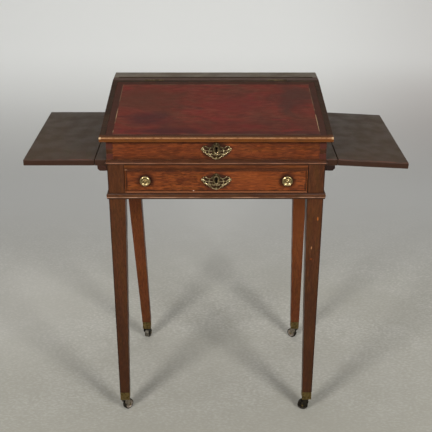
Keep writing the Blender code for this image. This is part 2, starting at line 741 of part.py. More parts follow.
def make_lid_hinges(hinge):
    """Two brass butts between the ledge and the lid, with their pins along the lid's top edge."""
    sizes = (LID_HINGE_LENGTH, LID_KNUCKLE_RADIUS, LID_FLAP_WIDTH, LID_JOINT, LID_FLAP_THICKNESS)
    fixed = hinge_half("lid_butt_fixed", *sizes, True)
    moving = hinge_half("lid_butt_moving", *sizes, False)
    turn = Matrix.Rotation(-LID_SLOPE, 3, "X")
    pin = Vector((1, 0, 0))
    for name, x in zip(("left", "right"), lid_hinge_places()):
        spot = Vector((x, HINGE_LINE, LEDGE_TOP))
        matrix = frame_of(spot, pin, Vector((0, 0, -1)), Vector((0, 1, 0)))
        place(bpy.data.objects.new("lid_hinge_fixed_" + name, fixed), BRASS, matrix, None)
        spot = Vector((x, 0.0, 0.0))
        matrix = frame_of(spot, -pin, turn @ Vector((0, 0, -1)), turn @ Vector((0, -1, 0)))
        place(bpy.data.objects.new("lid_hinge_moving_" + name, moving), BRASS, matrix, hinge)


def leaf_hinge_places():
    return (LEAF_FRONT + LEAF_HINGE_INSET, BACK - LEAF_HINGE_INSET)


def leaf_hinge_tools(name, half, out, origin, parent):
    """Barrel grooves and hinge halves for a strip (fixed) or a leaf (moving), at a leaf's hinge places."""
    grooves = []
    flaps = []
    radius = LEAF_KNUCKLE_RADIUS + KNUCKLE_CLEARANCE
    reach = Vector((0.0, LEAF_HINGE_LENGTH / 2 + GAP, 0.0))
    for i, y in enumerate(leaf_hinge_places()):
        spot = Vector((origin[0], y - origin[1], origin[2]))
        ends = (spot - reach, spot + reach)
        grooves.append(cylinder(f"{name}_groove_{i}", radius, *ends, None, SMALL_ROUND_STEPS, parent))
        matrix = frame_of(spot, Vector((0, -out, 0)), Vector((out, 0, 0)), Vector((0, 0, 1)))
        flaps.append(place(bpy.data.objects.new(f"{name}_flap_{i}", half), None, matrix, parent))
    return grooves, flaps


def prop_rest_angle(droop):
    """The prop's lean from upright at which its round tip meets the leaf's underside."""
    tip = PROP_THICKNESS / 2 + GAP
    height = PROP_PIVOT_REACH * math.sin(droop) + PROP_PIVOT_DROP * math.cos(droop) - tip
    return droop + math.acos(height / PROP_LENGTH)


def make_leaf(name, side, droop, fixed_half, moving_half):
    """A drop leaf on one side, its strip and its prop. The hinge halves are one with their wood."""
    low_x, high_x = sorted((side * (SIDE + GAP), side * (SIDE + GAP + STRIP_WIDTH)))
    low = (low_x, LEAF_FRONT, LEAF_UNDER)
    strip = box("leaf_strip_" + name, low, (high_x, BACK, LEAF_TOP), DARK_MAHOGANY)
    axis = Vector((side * LEAF_AXIS, LEAF_MIDDLE, LEAF_UNDER))
    grooves, flaps = leaf_hinge_tools("strip_" + name, fixed_half, -side, (axis.x, 0.0, axis.z), None)
    combine(strip, grooves)
    combine(strip, flaps, "UNION")
    hinge = joint("joint_leaf_" + name, axis, (0.0, side * droop, 0.0))
    half = (BACK - LEAF_FRONT) / 2
    low_x, high_x = sorted((side * LEAF_JOINT / 2, side * (LEAF_JOINT / 2 + LEAF_WIDTH)))
    low = (low_x, -half, 0.0)
    leaf = box("leaf_" + name, low, (high_x, half, LEAF_THICKNESS), DARK_MAHOGANY, hinge)
    grooves, flaps = leaf_hinge_tools("leaf_" + name, moving_half, side, (0.0, LEAF_MIDDLE, 0.0), hinge)
    combine(leaf, grooves)
    combine(leaf, flaps + [make_prop(name, side, droop, hinge)], "UNION")


def make_prop(name, side, droop, hinge):
    """A pivoted wooden prop that carries a raised leaf and swings down behind the lowered one.

    Returns the stop under the leaf that the prop's tip bears against.
    """
    pivot = Vector((side * (LEAF_AXIS - PROP_PIVOT_REACH), LEAF_MIDDLE, PROP_PIVOT_HEIGHT))
    rest = prop_rest_angle(droop)
    swing = joint("joint_prop_" + name, pivot, (0.0, side * rest, 0.0))
    radius = PROP_THICKNESS / 2
    outline = arc((0.0, 0.0), radius, 180.0, 360.0, ARC_STEPS)
    outline += arc((0.0, PROP_LENGTH), radius, 0.0, 180.0, ARC_STEPS)
    prop = flat_outline("prop_" + name, outline, PROP_WIDTH, MAHOGANY, ALONG_Y, swing)
    ends = ((0.0, -PROP_WIDTH, 0.0), (0.0, PROP_WIDTH, 0.0))
    radius_of_bore = PROP_PIN_RADIUS + GAP
    bore = cylinder("prop_bore_" + name, radius_of_bore, *ends, None, SMALL_ROUND_STEPS, swing)
    combine(prop, [bore])
    tip_along = PROP_PIVOT_DROP * math.sin(droop) - PROP_PIVOT_REACH * math.cos(droop)
    tip_along += PROP_LENGTH * math.sin(rest - droop)
    below = radius + GAP - STOP_THICKNESS
    stop_start = tip_along + math.sqrt(radius * radius - below * below) + STOP_CLEARANCE
    low_x, high_x = sorted((side * stop_start, side * (stop_start + STOP_WIDTH)))
    low = (low_x, -PROP_WIDTH, -STOP_THICKNESS)
    return box("prop_stop_" + name, low, (high_x, PROP_WIDTH, STOP_THICKNESS), None, hinge)


def make_bearer(name, side):
    """The chamfered rail under a strip, with the forked bracket and pin that the prop turns on."""
    high = LEAF_UNDER - GAP
    low = high - BEARER_HEIGHT
    near = side * (SIDE + GAP)
    far = side * (SIDE + GAP + BEARER_WIDTH)
    outline = [(near, low), (far - side * BEARER_CHAMFER, low), (far, low + BEARER_CHAMFER)]
    outline += [(far, high), (near, high)]
    matrix = Matrix.Translation((0.0, LEAF_MIDDLE, 0.0)) @ ALONG_Y
    bearer = flat_outline("leaf_bearer_" + name, outline, BACK - LEAF_FRONT, DARK_MAHOGANY, matrix)
    pivot_x = side * (LEAF_AXIS - PROP_PIVOT_REACH)
    pivot_z = PROP_PIVOT_HEIGHT
    slot = PROP_WIDTH / 2 + RUNNING_GAP
    outer = slot + PROP_CHEEK
    bottom = pivot_z - PROP_BRACKET_FOOT
    low_x, high_x = sorted((near, far - side * BEARER_CHAMFER))
    bracket = box(
        "bracket_" + name, (low_x, LEAF_MIDDLE - outer, bottom),
        (high_x, LEAF_MIDDLE + outer, low + BEARER_CHAMFER), None,
    )
    low_x, high_x = sorted((near + side * PROP_BRACKET_BACK, far + side * PROP_BRACKET_BACK))
    fork = box(
        "fork_" + name, (low_x, LEAF_MIDDLE - slot, bottom - PROP_BRACKET_FOOT),
        (high_x, LEAF_MIDDLE + slot, low), None,
    )
    reach = slot + PROP_CHEEK / 2
    ends = ((pivot_x, LEAF_MIDDLE - reach, pivot_z), (pivot_x, LEAF_MIDDLE + reach, pivot_z))
    pin = cylinder("prop_pin_" + name, PROP_PIN_RADIUS, *ends, None)
    combine(bearer, [bracket], "UNION")
    combine(bearer, [fork])
    combine(bearer, [pin], "UNION")


def make_leaves():
    """Both drop leaves and what carries them."""
    shape = (LEAF_HINGE_LENGTH, LEAF_KNUCKLE_RADIUS)
    thick = LEAF_FLAP_THICKNESS
    fixed = hinge_half("leaf_butt_fixed", *shape, STRIP_FLAP_WIDTH, FLAP_SINK, thick, True)
    moving = hinge_half("leaf_butt_moving", *shape, LEAF_FLAP_WIDTH, -FLAP_PROUD, thick, False)
    for name, side, droop in (("left", -1, LEFT_LEAF_DROOP), ("right", 1, RIGHT_LEAF_DROOP)):
        make_leaf(name, side, droop, fixed, moving)
        make_bearer(name, side)


def keyhole_loop(centre_z):
    """A keyhole's outline: a round eye over a straight slot."""
    half = KEYHOLE_SLOT / 2
    opening = math.degrees(math.asin(half / KEYHOLE_RADIUS))
    loop = arc((0.0, centre_z), KEYHOLE_RADIUS, 270.0 - opening, opening - 90.0, 2 * ARC_STEPS)
    return loop + [(half, centre_z - KEYHOLE_DROP), (-half, centre_z - KEYHOLE_DROP)]


def keyhole_cutter(name, centre_z, face, depth, parent=None):
    """A cutter from in front of a face, through the given depth and into the lock behind."""
    near = face - KEYHOLE_PAST
    far = face + depth + KEYHOLE_PAST
    matrix = Matrix.Translation((0.0, (near + far) / 2, 0.0)) @ ALONG_Y
    return flat_outline(name, keyhole_loop(centre_z), far - near, None, matrix, parent)


def escutcheon_loops():
    """A pierced plate: an arched crest, scrolled wings and a pointed base, mirrored about its middle."""
    half = [
        (0.00, 1.00), (0.13, 0.93), (0.22, 0.74), (0.27, 0.56), (0.38, 0.42), (0.50, 0.40), (0.60, 0.52),
        (0.72, 0.66), (0.84, 0.60), (0.90, 0.42), (1.00, 0.30), (0.97, 0.14), (0.86, 0.08), (0.82, -0.10),
        (0.68, -0.18), (0.60, -0.36), (0.46, -0.42), (0.36, -0.60), (0.22, -0.66), (0.13, -0.86),
        (0.00, -1.00),
    ]
    wing = [(0.46, 0.22), (0.58, 0.36), (0.72, 0.48), (0.78, 0.38), (0.70, 0.20), (0.58, 0.10)]
    base = [(0.22, -0.16), (0.36, -0.04), (0.52, -0.06), (0.56, -0.18), (0.42, -0.26), (0.28, -0.36)]
    scale_x = ESCUTCHEON_WIDTH / 2
    scale_z = ESCUTCHEON_HEIGHT / 2
    outline = half + [(-x, z) for x, z in reversed(half[1:-1])]
    loops = [outline]
    for hole in (wing, base):
        loops.append(hole)
        loops.append([(-x, z) for x, z in reversed(hole)])
    return [[(x * scale_x, z * scale_z) for x, z in loop] for loop in loops]


def make_escutcheon(name, height, parent=None, front=FRONT):
    """A pierced brass plate with its keyhole."""
    back = front - GAP
    matrix = Matrix.Translation((0.0, back - ESCUTCHEON_THICKNESS / 2, height)) @ ALONG_Y
    plate = pierced_plate(name, escutcheon_loops(), ESCUTCHEON_THICKNESS, BRASS, matrix, parent)
    eye = height + KEYHOLE_RISE
    return combine(plate, [keyhole_cutter(name + "_keyhole", eye, back, 0.0, parent)])


def make_knob(name, x, parent):
    """A turned brass knob with a dished face, a centre button and a shank into the drawer front."""
    r = KNOB_RADIUS
    y = KNOB_REACH
    profile = [
        (0.0, y), (0.16 * r, 0.985 * y), (0.28 * r, 0.92 * y), (0.34 * r, 0.80 * y), (0.40 * r, 0.73 * y),
        (0.60 * r, 0.73 * y), (0.76 * r, 0.80 * y), (0.88 * r, 0.86 * y), (0.97 * r, 0.83 * y),
        (r, 0.75 * y), (0.95 * r, 0.66 * y), (0.62 * r, 0.54 * y), (0.36 * r, 0.40 * y),
        (0.34 * r, 0.20 * y), (0.52 * r, 0.08 * y), (0.54 * r, GAP), (KNOB_SHANK_RADIUS, GAP),
        (KNOB_SHANK_RADIUS, -KNOB_SHANK_LENGTH), (0.0, -KNOB_SHANK_LENGTH),
    ]
    turn = Matrix.Rotation(math.pi / 2, 4, "X")
    matrix = Matrix.Translation((x, 0.0, KNOB_HEIGHT - DRAWER_BOTTOM)) @ turn
    return turned(name, profile, BRASS, matrix, parent)


def make_cockbead(height, parent):
    """The fine bead mitred round the drawer front, with a round front edge."""
    radius = COCKBEAD_WIDTH / 2
    section = [(0.0, COCKBEAD_DEPTH)]
    section += arc((radius, radius - COCKBEAD_REACH), radius, 180.0, 360.0, ARC_STEPS)
    section.append((COCKBEAD_WIDTH, COCKBEAD_DEPTH))
    rings = []
    for inset, y in section:
        half = DRAWER_HALF - inset
        top = height - inset
        rings.append([(-half, y, inset), (half, y, inset), (half, y, top), (-half, y, top)])
    return loft("drawer_cockbead", rings, MAHOGANY, True, parent)


def make_drawer():
    """The drawer, in coordinates from the middle of its front's lower edge."""
    slide = joint("joint_drawer", (0.0, FRONT, DRAWER_BOTTOM))
    height = DRAWER_TOP - DRAWER_BOTTOM
    rim = COCKBEAD_WIDTH + GAP
    step = COCKBEAD_DEPTH + GAP
    rings = []
    for inset, y in ((rim, 0.0), (rim, step), (0.0, step), (0.0, DRAWER_FRONT_THICKNESS)):
        half = DRAWER_HALF - inset
        top = height - inset
        rings.append([(-half, y, inset), (half, y, inset), (half, y, top), (-half, y, top)])
    front = loft("drawer_front", rings, MAHOGANY, False, slide)
    eye = LOWER_ESCUTCHEON_HEIGHT + KEYHOLE_RISE - DRAWER_BOTTOM
    keyhole = keyhole_cutter("lower_keyhole", eye, 0.0, DRAWER_FRONT_THICKNESS, slide)
    cutters = [keyhole]
    for name, x in (("left", -KNOB_PLACE), ("right", KNOB_PLACE)):
        z = KNOB_HEIGHT - DRAWER_BOTTOM
        ends = ((x, -KNOB_SHANK_LENGTH, z), (x, KNOB_SHANK_LENGTH + GAP, z))
        radius = KNOB_SHANK_RADIUS + GAP
        cutters.append(cylinder("knob_bore_" + name, radius, *ends, None, ROUND_STEPS, slide))
        make_knob("knob_" + name, x, slide)
    near = DRAWER_FRONT_THICKNESS + GAP
    wall = DRAWER_WALL
    top = height - DRAWER_WALL_DROP
    tip = DRAWER_FRONT_THICKNESS - DRAWER_TAIL_LENGTH
    shape = (DRAWER_TAIL_WIDTH, DRAWER_TAIL_FLARE, tip, near)
    rise = (0.0, top, DRAWER_TAIL_COUNT, shape)
    tails = dovetails(*rise, tip - GAP, near + RUNNING_GAP, GAP)
    combine(front, cutters + socket_cutters("drawer_socket", tails, DRAWER_HALF, wall + GAP, slide))
    make_cockbead(height, slide)
    outline = [(near, 0.0)]
    for tail in dovetails(*rise, tip, near):
        outline += tail
    outline += [(near, top), (DRAWER_LENGTH, top), (DRAWER_LENGTH, 0.0)]
    for name, side in (("left", -1), ("right", 1)):
        matrix = Matrix.Translation((side * (DRAWER_HALF - wall / 2), 0.0, 0.0)) @ ALONG_X
        flat_outline("drawer_side_" + name, outline, wall, PALE_WOOD, matrix, slide)
    inner_half = DRAWER_HALF - wall - GAP
    floor = DRAWER_BOTTOM_LIFT
    back_low = floor + DRAWER_BOTTOM_THICKNESS + GAP
    low = (-inner_half, DRAWER_LENGTH - wall, back_low)
    box("drawer_back", low, (inner_half, DRAWER_LENGTH, top), PALE_WOOD, slide)
    low = (-inner_half, near, floor)
    high = (inner_half, DRAWER_LENGTH, floor + DRAWER_BOTTOM_THICKNESS)
    box("drawer_bottom", low, high, PALE_WOOD, slide)
    make_escutcheon("escutcheon_lower", LOWER_ESCUTCHEON_HEIGHT - DRAWER_BOTTOM, slide, 0.0)
    make_drawer_lock(slide, near, keyhole)


def make_drawer_lock(slide, near, keyhole):
    """The lock behind the drawer front, whose bolt rises into the rail above."""
    top = DRAWER_TOP - DRAWER_BOTTOM - DRAWER_LOCK_TOP_CLEARANCE
    low = top - DRAWER_LOCK_HEIGHT
    half = LOCK_WIDTH / 2
    case = box("drawer_lock_case", (-half, near, low), (half, near + LOCK_DEPTH, top), BRASS, slide)
    middle = near + LOCK_DEPTH / 2
    bolt_half = DRAWER_BOLT_WIDTH / 2
    deep = DRAWER_BOLT_DEPTH / 2
    bottom = top - DRAWER_BOLT_LENGTH
    well = box(
        "drawer_bolt_well", (-bolt_half - GAP, middle - deep - GAP, bottom - GAP),
        (bolt_half + GAP, middle + deep + GAP, top + GAP), None, slide,
    )
    combine(case, [well, keyhole])
    rise = joint("joint_drawer_bolt", (0.0, middle, bottom), (0.0, 0.0, 0.0), slide)
    low = (-bolt_half, -deep, 0.0)
    box("drawer_lock_bolt", low, (bolt_half, deep, DRAWER_BOLT_LENGTH), IRON, rise)


def make_runners():
    """A runner for each side of the drawer, rebated so that it also guides the drawer's side."""
    near = FRONT + LEG_TOP_WIDTH + GAP
    far = BACK - LEG_TOP_WIDTH - GAP
    wall = SIDE - RAIL_THICKNESS - GAP
    top = DRAWER_BOTTOM - GAP
    guide = DRAWER_HALF + GAP
    inner = DRAWER_HALF - RUNNER_WIDTH
    matrix = Matrix.Translation((0.0, (near + far) / 2, 0.0)) @ ALONG_Y
    for name, side in (("left", -1), ("right", 1)):
        outline = [(inner, FRIEZE_BOTTOM), (wall, FRIEZE_BOTTOM), (wall, top + GUIDE_HEIGHT)]
        outline += [(guide, top + GUIDE_HEIGHT), (guide, top), (inner, top)]
        loop = [(side * x, z) for x, z in outline]
        flat_outline("drawer_runner_" + name, loop, far - near, PALE_WOOD, matrix)


def make_lid_lock(hinge, keyhole):
    """The lock behind the box front and the link plate under the lid that it catches."""
    near = FRONT + BOX_WALL + GAP
    far = near + LOCK_DEPTH
    top = lid_under(near) - LID_LOCK_TOP_CLEARANCE
    low = top - LID_LOCK_HEIGHT
    half = LOCK_WIDTH / 2
    case = box("lid_lock_case", (-half, near, low), (half, far, top), BRASS)
    middle = near + LOCK_DEPTH / 2
    staple_half_y = LID_BOLT_DEPTH / 2 + RUNNING_GAP + STAPLE_WALL
    staple_half_x = STAPLE_THICKNESS / 2
    root = Vector((0.0, middle, lid_under(middle)))
    local = Matrix.Rotation(-LID_SLOPE, 3, "X") @ (root - Vector((0.0, HINGE_LINE, LEDGE_TOP)))
    plate_low = local.z - GAP - LINK_PLATE_THICKNESS
    plate_half = LINK_PLATE_WIDTH / 2
    plate_deep = LINK_PLATE_DEPTH / 2
    plate = box(
        "lid_link_plate", (-plate_half, local.y - plate_deep, plate_low),
        (plate_half, local.y + plate_deep, local.z - GAP), BRASS, hinge,
    )
    staple_low = local.z - GAP - STAPLE_DROP
    staple = box(
        "staple", (-staple_half_x, local.y - staple_half_y, staple_low),
        (staple_half_x, local.y + staple_half_y, plate_low + LINK_PLATE_THICKNESS / 2), None, hinge,
    )
    eye_y = LID_BOLT_DEPTH / 2 + RUNNING_GAP
    eye_low = staple_low + STAPLE_WALL
    eye = box(
        "staple_eye", (-2 * staple_half_x, local.y - eye_y, eye_low),
        (2 * staple_half_x, local.y + eye_y, eye_low + STAPLE_EYE), None, hinge,
    )
    combine(plate, [staple], "UNION")
    combine(plate, [eye])
    eye_middle = Matrix.Rotation(LID_SLOPE, 3, "X") @ Vector((0.0, local.y, eye_low + STAPLE_EYE / 2))
    bolt_z = LEDGE_TOP + eye_middle.z
    bolt_y = HINGE_LINE + eye_middle.y
    pocket_half_x = staple_half_x + STAPLE_CLEARANCE
    pocket_half_y = staple_half_y + STAPLE_CLEARANCE
    pocket_low = bolt_z - STAPLE_EYE / 2 - STAPLE_WALL - STAPLE_CLEARANCE
    pocket = box(
        "staple_pocket", (-pocket_half_x, bolt_y - pocket_half_y, pocket_low),
        (pocket_half_x, bolt_y + pocket_half_y, top + GAP), None,
    )
    bolt_start = pocket_half_x + RUNNING_GAP
    bolt_y_half = LID_BOLT_DEPTH / 2
    bolt_z_half = LID_BOLT_HEIGHT / 2
    well = box(
        "lid_bolt_well",
        (-pocket_half_x - LID_BOLT_THROW, bolt_y - bolt_y_half - GAP, bolt_z - bolt_z_half - GAP),
        (bolt_start + LID_BOLT_LENGTH + GAP, bolt_y + bolt_y_half + GAP, bolt_z + bolt_z_half + GAP),
        None,
    )
    combine(case, [pocket, well, keyhole])
    slide = joint("joint_lid_bolt", (bolt_start, bolt_y, bolt_z))
    low = (0.0, -bolt_y_half, -bolt_z_half)
    box("lid_lock_bolt", low, (LID_BOLT_LENGTH, bolt_y_half, bolt_z_half), IRON, slide)


def make_cup_mesh():
    """A square cup for a leg's foot, with the stud that the horn turns on below it."""
    half = CUP_WIDTH / 2
    cup = box("cup", (-half, -half, CUP_BOTTOM), (half, half, CUP_TOP), None)
    inner = half - CUP_WALL
    low = (-inner, -inner, CUP_BOTTOM + CUP_FLOOR)
    hollow = box("cup_hollow", low, (inner, inner, CUP_TOP + CUP_WALL), None)
    plate_low = CUP_BOTTOM - GAP - HORN_PLATE_THICKNESS
    head_top = plate_low - GAP
    profile = [
        (0.0, CUP_BOTTOM + CUP_FLOOR / 2), (CASTOR_STUD_RADIUS, CUP_BOTTOM + CUP_FLOOR / 2),
        (CASTOR_STUD_RADIUS, head_top), (CASTOR_STUD_HEAD, head_top),
        (CASTOR_STUD_HEAD, head_top - CASTOR_STUD_HEAD_HEIGHT), (0.0, head_top - CASTOR_STUD_HEAD_HEIGHT),
    ]
    stud = turned("cup_stud", profile, None, ALONG_Z, None, SMALL_ROUND_STEPS)
    combine(cup, [hollow])
    combine(cup, [stud], "UNION")
    return kept_mesh(cup, [hollow, stud])


def make_horn_mesh():
    """The forked horn with its riveted axle, trailing along +X from the stud."""
    top = CUP_BOTTOM - GAP
    low = top - HORN_PLATE_THICKNESS
    horn = cylinder("horn", HORN_PLATE_RADIUS, (0, 0, low), (0, 0, top), None, ROUND_STEPS)
    cheek_near = WHEEL_WIDTH / 2 + RUNNING_GAP
    middle = cheek_near + HORN_CHEEK / 2
    outline = tapered_link(
        (0.0, top - HORN_CROWN), HORN_CROWN, (CASTOR_TRAIL, WHEEL_RADIUS), HORN_BOSS, 2 * ARC_STEPS
    )
    tools = []
    for side in (-1, 1):
        matrix = Matrix.Translation((0.0, side * middle, 0.0)) @ ALONG_Y
        tools.append(flat_outline(f"horn_cheek_{side}", outline, HORN_CHEEK, None, matrix))
    reach = cheek_near + HORN_CHEEK / 2
    axle = ((CASTOR_TRAIL, -reach, WHEEL_RADIUS), (CASTOR_TRAIL, reach, WHEEL_RADIUS))
    tools.append(cylinder("horn_axle", CASTOR_AXLE_RADIUS, axle[0], axle[1], None))
    bridge = box(
        "horn_bridge", (-HORN_CROWN / 2, -middle, low + GAP), (HORN_CROWN / 2, middle, top - GAP), None
    )
    bore = cylinder("horn_bore", CASTOR_STUD_RADIUS + GAP, (0, 0, 0), (0, 0, CUP_TOP), None)
    combine(horn, [bridge] + tools, "UNION")
    combine(horn, [bore])
    return kept_mesh(horn, [bridge, bore] + tools)


def make_castors():
    """Four cup castors: cups on the feet, horns on their studs and wheels on their axles."""
    cup = make_cup_mesh()
    horn = make_horn_mesh()
    half = WHEEL_WIDTH / 2
    bore = CASTOR_AXLE_RADIUS + GAP
    rim = WHEEL_RADIUS - WHEEL_EASING
    profile = [
        (bore, half), (rim, half), (WHEEL_RADIUS, half - WHEEL_EASING),
        (WHEEL_RADIUS, WHEEL_EASING - half), (rim, -half), (bore, -half),
    ]
    wheel_mesh = None
    for corner, (side, face, inward, lean) in CORNERS.items():
        foot = Vector((side * (SIDE - FOOT_CENTRE) + lean, face + inward * FOOT_CENTRE, 0.0))
        place(bpy.data.objects.new("castor_cup_" + corner, cup), BRASS, Matrix.Translation(foot), None)
        swivel = joint("joint_swivel_" + corner, foot, (0.0, 0.0, CASTOR_TURNS[corner]))
        place(bpy.data.objects.new("castor_horn_" + corner, horn), DARK_BRASS, ALONG_Z, swivel)
        centre = (CASTOR_TRAIL, 0.0, WHEEL_RADIUS)
        axle = joint("joint_wheel_" + corner, centre, (math.pi / 2, 0.0, 0.0), swivel)
        name = "castor_wheel_" + corner
        if wheel_mesh is None:
            wheel_mesh = turned(name, profile, DARK_BRASS, ALONG_Z, axle).data
        else:
            place(bpy.data.objects.new(name, wheel_mesh), DARK_BRASS, ALONG_Z, axle)


for corner in CORNERS:
    make_leg(corner)
make_frame()
make_mouldings()
upper_middle = (BOX_BOTTOM + lid_under(FRONT)) / 2 + UPPER_ESCUTCHEON_LIFT
lid_keyhole = keyhole_cutter("upper_keyhole", upper_middle + KEYHOLE_RISE, FRONT, BOX_WALL)
make_desk_box(lid_keyhole)
make_ledge()
lid_hinge = make_lid()
make_lid_hinges(lid_hinge)
make_lid_lock(lid_hinge, lid_keyhole)
make_escutcheon("escutcheon_upper", upper_middle)
make_leaves()
make_runners()
make_drawer()
make_castors()
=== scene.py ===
"""Looks of the writing bureau: worn mahogany, leather and aged brass, with its studio and camera.

Lengths are in metres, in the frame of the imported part: +Z is up and the front of the desk faces -Y.
"""

import json
import math

import bmesh
import bpy
from mathutils import Matrix, Vector, noise

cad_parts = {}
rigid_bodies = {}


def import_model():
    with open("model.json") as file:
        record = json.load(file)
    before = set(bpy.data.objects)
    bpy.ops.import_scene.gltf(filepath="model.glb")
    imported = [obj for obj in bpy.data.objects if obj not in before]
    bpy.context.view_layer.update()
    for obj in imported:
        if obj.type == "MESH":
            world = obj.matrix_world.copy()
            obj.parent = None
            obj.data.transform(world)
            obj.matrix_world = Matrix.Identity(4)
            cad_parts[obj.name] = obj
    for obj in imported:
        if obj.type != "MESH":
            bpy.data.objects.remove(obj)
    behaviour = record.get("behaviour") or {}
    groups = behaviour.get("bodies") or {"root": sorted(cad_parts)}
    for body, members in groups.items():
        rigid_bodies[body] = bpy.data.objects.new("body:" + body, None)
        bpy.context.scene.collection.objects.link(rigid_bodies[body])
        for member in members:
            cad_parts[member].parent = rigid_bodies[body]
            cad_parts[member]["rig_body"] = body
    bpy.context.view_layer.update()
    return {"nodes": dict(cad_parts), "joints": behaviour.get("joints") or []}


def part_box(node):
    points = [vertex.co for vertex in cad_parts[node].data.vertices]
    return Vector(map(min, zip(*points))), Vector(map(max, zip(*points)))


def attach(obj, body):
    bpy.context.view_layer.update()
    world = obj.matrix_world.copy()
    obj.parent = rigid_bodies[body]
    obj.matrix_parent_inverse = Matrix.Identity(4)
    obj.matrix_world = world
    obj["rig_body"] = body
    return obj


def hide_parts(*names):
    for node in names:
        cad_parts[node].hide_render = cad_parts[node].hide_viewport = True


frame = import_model()
NODES = frame["nodes"]

# Camera
PHOTO_SIDE = 432
FOCAL_PIXELS = 820.3
SENSOR = 36
CAMERA_PLACE = (-0.0088, -1.97045, 1.4)
CAMERA_PITCH = math.radians(24.68)
CAMERA_YAW = math.radians(0.267)
CAMERA_ROLL = math.radians(0.073)

# Studio
FLOOR_HALF = 4
FLOOR_FRONT = -4
SWEEP_START = 1.3
SWEEP_RADIUS = 1.6
SWEEP_STEPS = 24
# Painted light on the paper: the spans over which it grows paler on the floor and up the sweep, and its
# painted glow.
FLOOR_PAINTED_LIGHT_SPAN = (0.3, 1.4)
SWEEP_PAINTED_LIGHT_SPAN = (0.02, 0.4)
SWEEP_GLOW = 0.122
WORLD_STRENGTH = 0.24
LIGHT_TARGET = Vector((0, 0, 0.55))
# Lamps: place, size and power
LAMPS = (
    ((-1.35, -2, 1.85), 0.58, 47.5),
    ((1.35, -2, 1.85), 0.58, 47.5),
    ((0, 0.6, 3.2), 2.6, 27),
)

# Eased edges
MERGE = 1e-5
FLAT_ANGLE = math.radians(1)
SHARP_ANGLE = math.radians(40)
SMOOTH_ANGLE = math.radians(50)
EASING_STEPS = 2
ON_FACE = 1e-4

# Lid, leather and mouldings
LID_SLOPE = math.radians(8.5)
LEATHER_GRID = (96, 60)
LEATHER_ROLL = 0.003
LEATHER_ROLL_DROP = 0.0005
LEATHER_WAVE = 0.00012
LEATHER_WAVE_SCALE = 14
TOOLING_WIDTH = 0.0009
TOOLING_DEPTH = 0.0002
GILT_FROM_SIDE = 0.0161
GILT_FROM_FRONT = 0.0062
GILT_FROM_BACK = 0.015
NOSE_DEPTH = 0.022
NOSE_LINE = 0.0106
LEDGE_FRONT_STRIP = 0.026
LIP_HEIGHT = 0.0022
POST_TOP_WIDTH = 0.0395
BEAD_DROP = 0.0018
BEAD_FILLET = 0.0014
BEAD_PROUD = 0.001

# Turned and cast brass: profiles are (radius, height) shares, and the escutcheon's points (x, z) shares
TURN_STEPS = 40
BEAD_STEPS = 10
DOME_STEPS = 4
KNOB_PROFILE = (
    (0, 1), (0.09, 0.985), (0.17, 0.94), (0.22, 0.86), (0.25, 0.77), (0.32, 0.72), (0.42, 0.7),
    (0.52, 0.7), (0.6, 0.715), (0.66, 0.765), (0.71, 0.815), (0.75, 0.842), (0.79, 0.852), (0.83, 0.842),
    (0.9, 0.8), (0.96, 0.758), (0.99, 0.725), (1, 0.69), (1, 0.64), (0.985, 0.6), (0.93, 0.54),
    (0.8, 0.47), (0.62, 0.4), (0.5, 0.32), (0.44, 0.22), (0.44, 0.12), (0.5, 0.05), (0.52, 0.014),
    (0, 0.014),
)
WHEEL_PROFILE = (
    (0.18, 1), (0.34, 1), (0.38, 0.9), (0.42, 0.7), (0.5, 0.62), (0.68, 0.62), (0.76, 0.72),
    (0.8, 0.92), (0.84, 1), (0.92, 0.98), (0.97, 0.86), (1, 0.55), (1, 0),
)
WHEEL_FACE_RINGS = 7
SPLINE_STEPS = 4
PLATE_THICKNESS = 0.001
CREST = (
    (0, 1), (0.12, 0.92), (0.2, 0.74), (0.27, 0.54), (0.38, 0.4), (0.5, 0.36), (0.6, 0.46),
    (0.72, 0.6), (0.84, 0.56), (0.9, 0.4), (1, 0.3), (0.97, 0.12), (0.87, 0.04), (0.83, -0.14),
    (0.71, -0.22), (0.65, -0.4), (0.52, -0.48), (0.45, -0.66), (0.31, -0.72), (0.2, -0.92), (0, -1),
)
PIERCINGS = (
    ((0.47, 0.18), (0.58, 0.3), (0.7, 0.44), (0.79, 0.4), (0.74, 0.22), (0.6, 0.1)),
    ((0.26, 0.3), (0.35, 0.22), (0.39, 0.12), (0.33, 0.05), (0.26, 0.1)),
    ((0.24, -0.14), (0.34, -0.06), (0.44, -0.1), (0.42, -0.24), (0.3, -0.3)),
    ((0.52, -0.06), (0.62, -0.02), (0.7, -0.1), (0.6, -0.22), (0.51, -0.18)),
    ((0.1, -0.56), (0.19, -0.48), (0.31, -0.5), (0.28, -0.6), (0.17, -0.72), (0.09, -0.68)),
)
PEARL_INSET = (0.97, 0.95)
PEARL_STEP = 0.0031
PEARL = (0.00125, 0.0012)
PEARL_TOP = 0.56
SCROLLS = (
    ((0.42, 0.3), (0.44, 0.16), (0.5, 0.06), (0.64, 0.04), (0.8, 0.16), (0.88, 0.28)),
    ((0.2, 0), (0.32, 0), (0.46, 0), (0.48, -0.16), (0.44, -0.3), (0.32, -0.38)),
    ((0.72, -0.1), (0.62, -0.28), (0.48, -0.38), (0.38, -0.46), (0.36, -0.58)),
    ((0.16, -0.3), (0.08, -0.42), (0.14, -0.46), (0.24, -0.42)),
)
RIB_SIDES = 8
RIB_RADIUS = 0.00075
RIB_RISE = 0.0003
RIB_TIP = 0.45
BOSSES = (
    (0, 0.84, 0.075), (0.92, 0.24, 0.062), (0.56, -0.32, 0.06), (0, -0.84, 0.075), (0.3, 0.46, 0.05),
    (0.46, -0.04, 0.05), (0, -0.46, 0.06), (0.23, -0.4, 0.045), (0.84, 0.46, 0.045), (0.82, 0.18, 0.115),
)
BOSS_RISE = 0.0013
CARTOUCHE = (0.165, 0.46, 0.16)
CARTOUCHE_STEPS = 20
CARTOUCHE_RIB = 0.9 * RIB_RADIUS
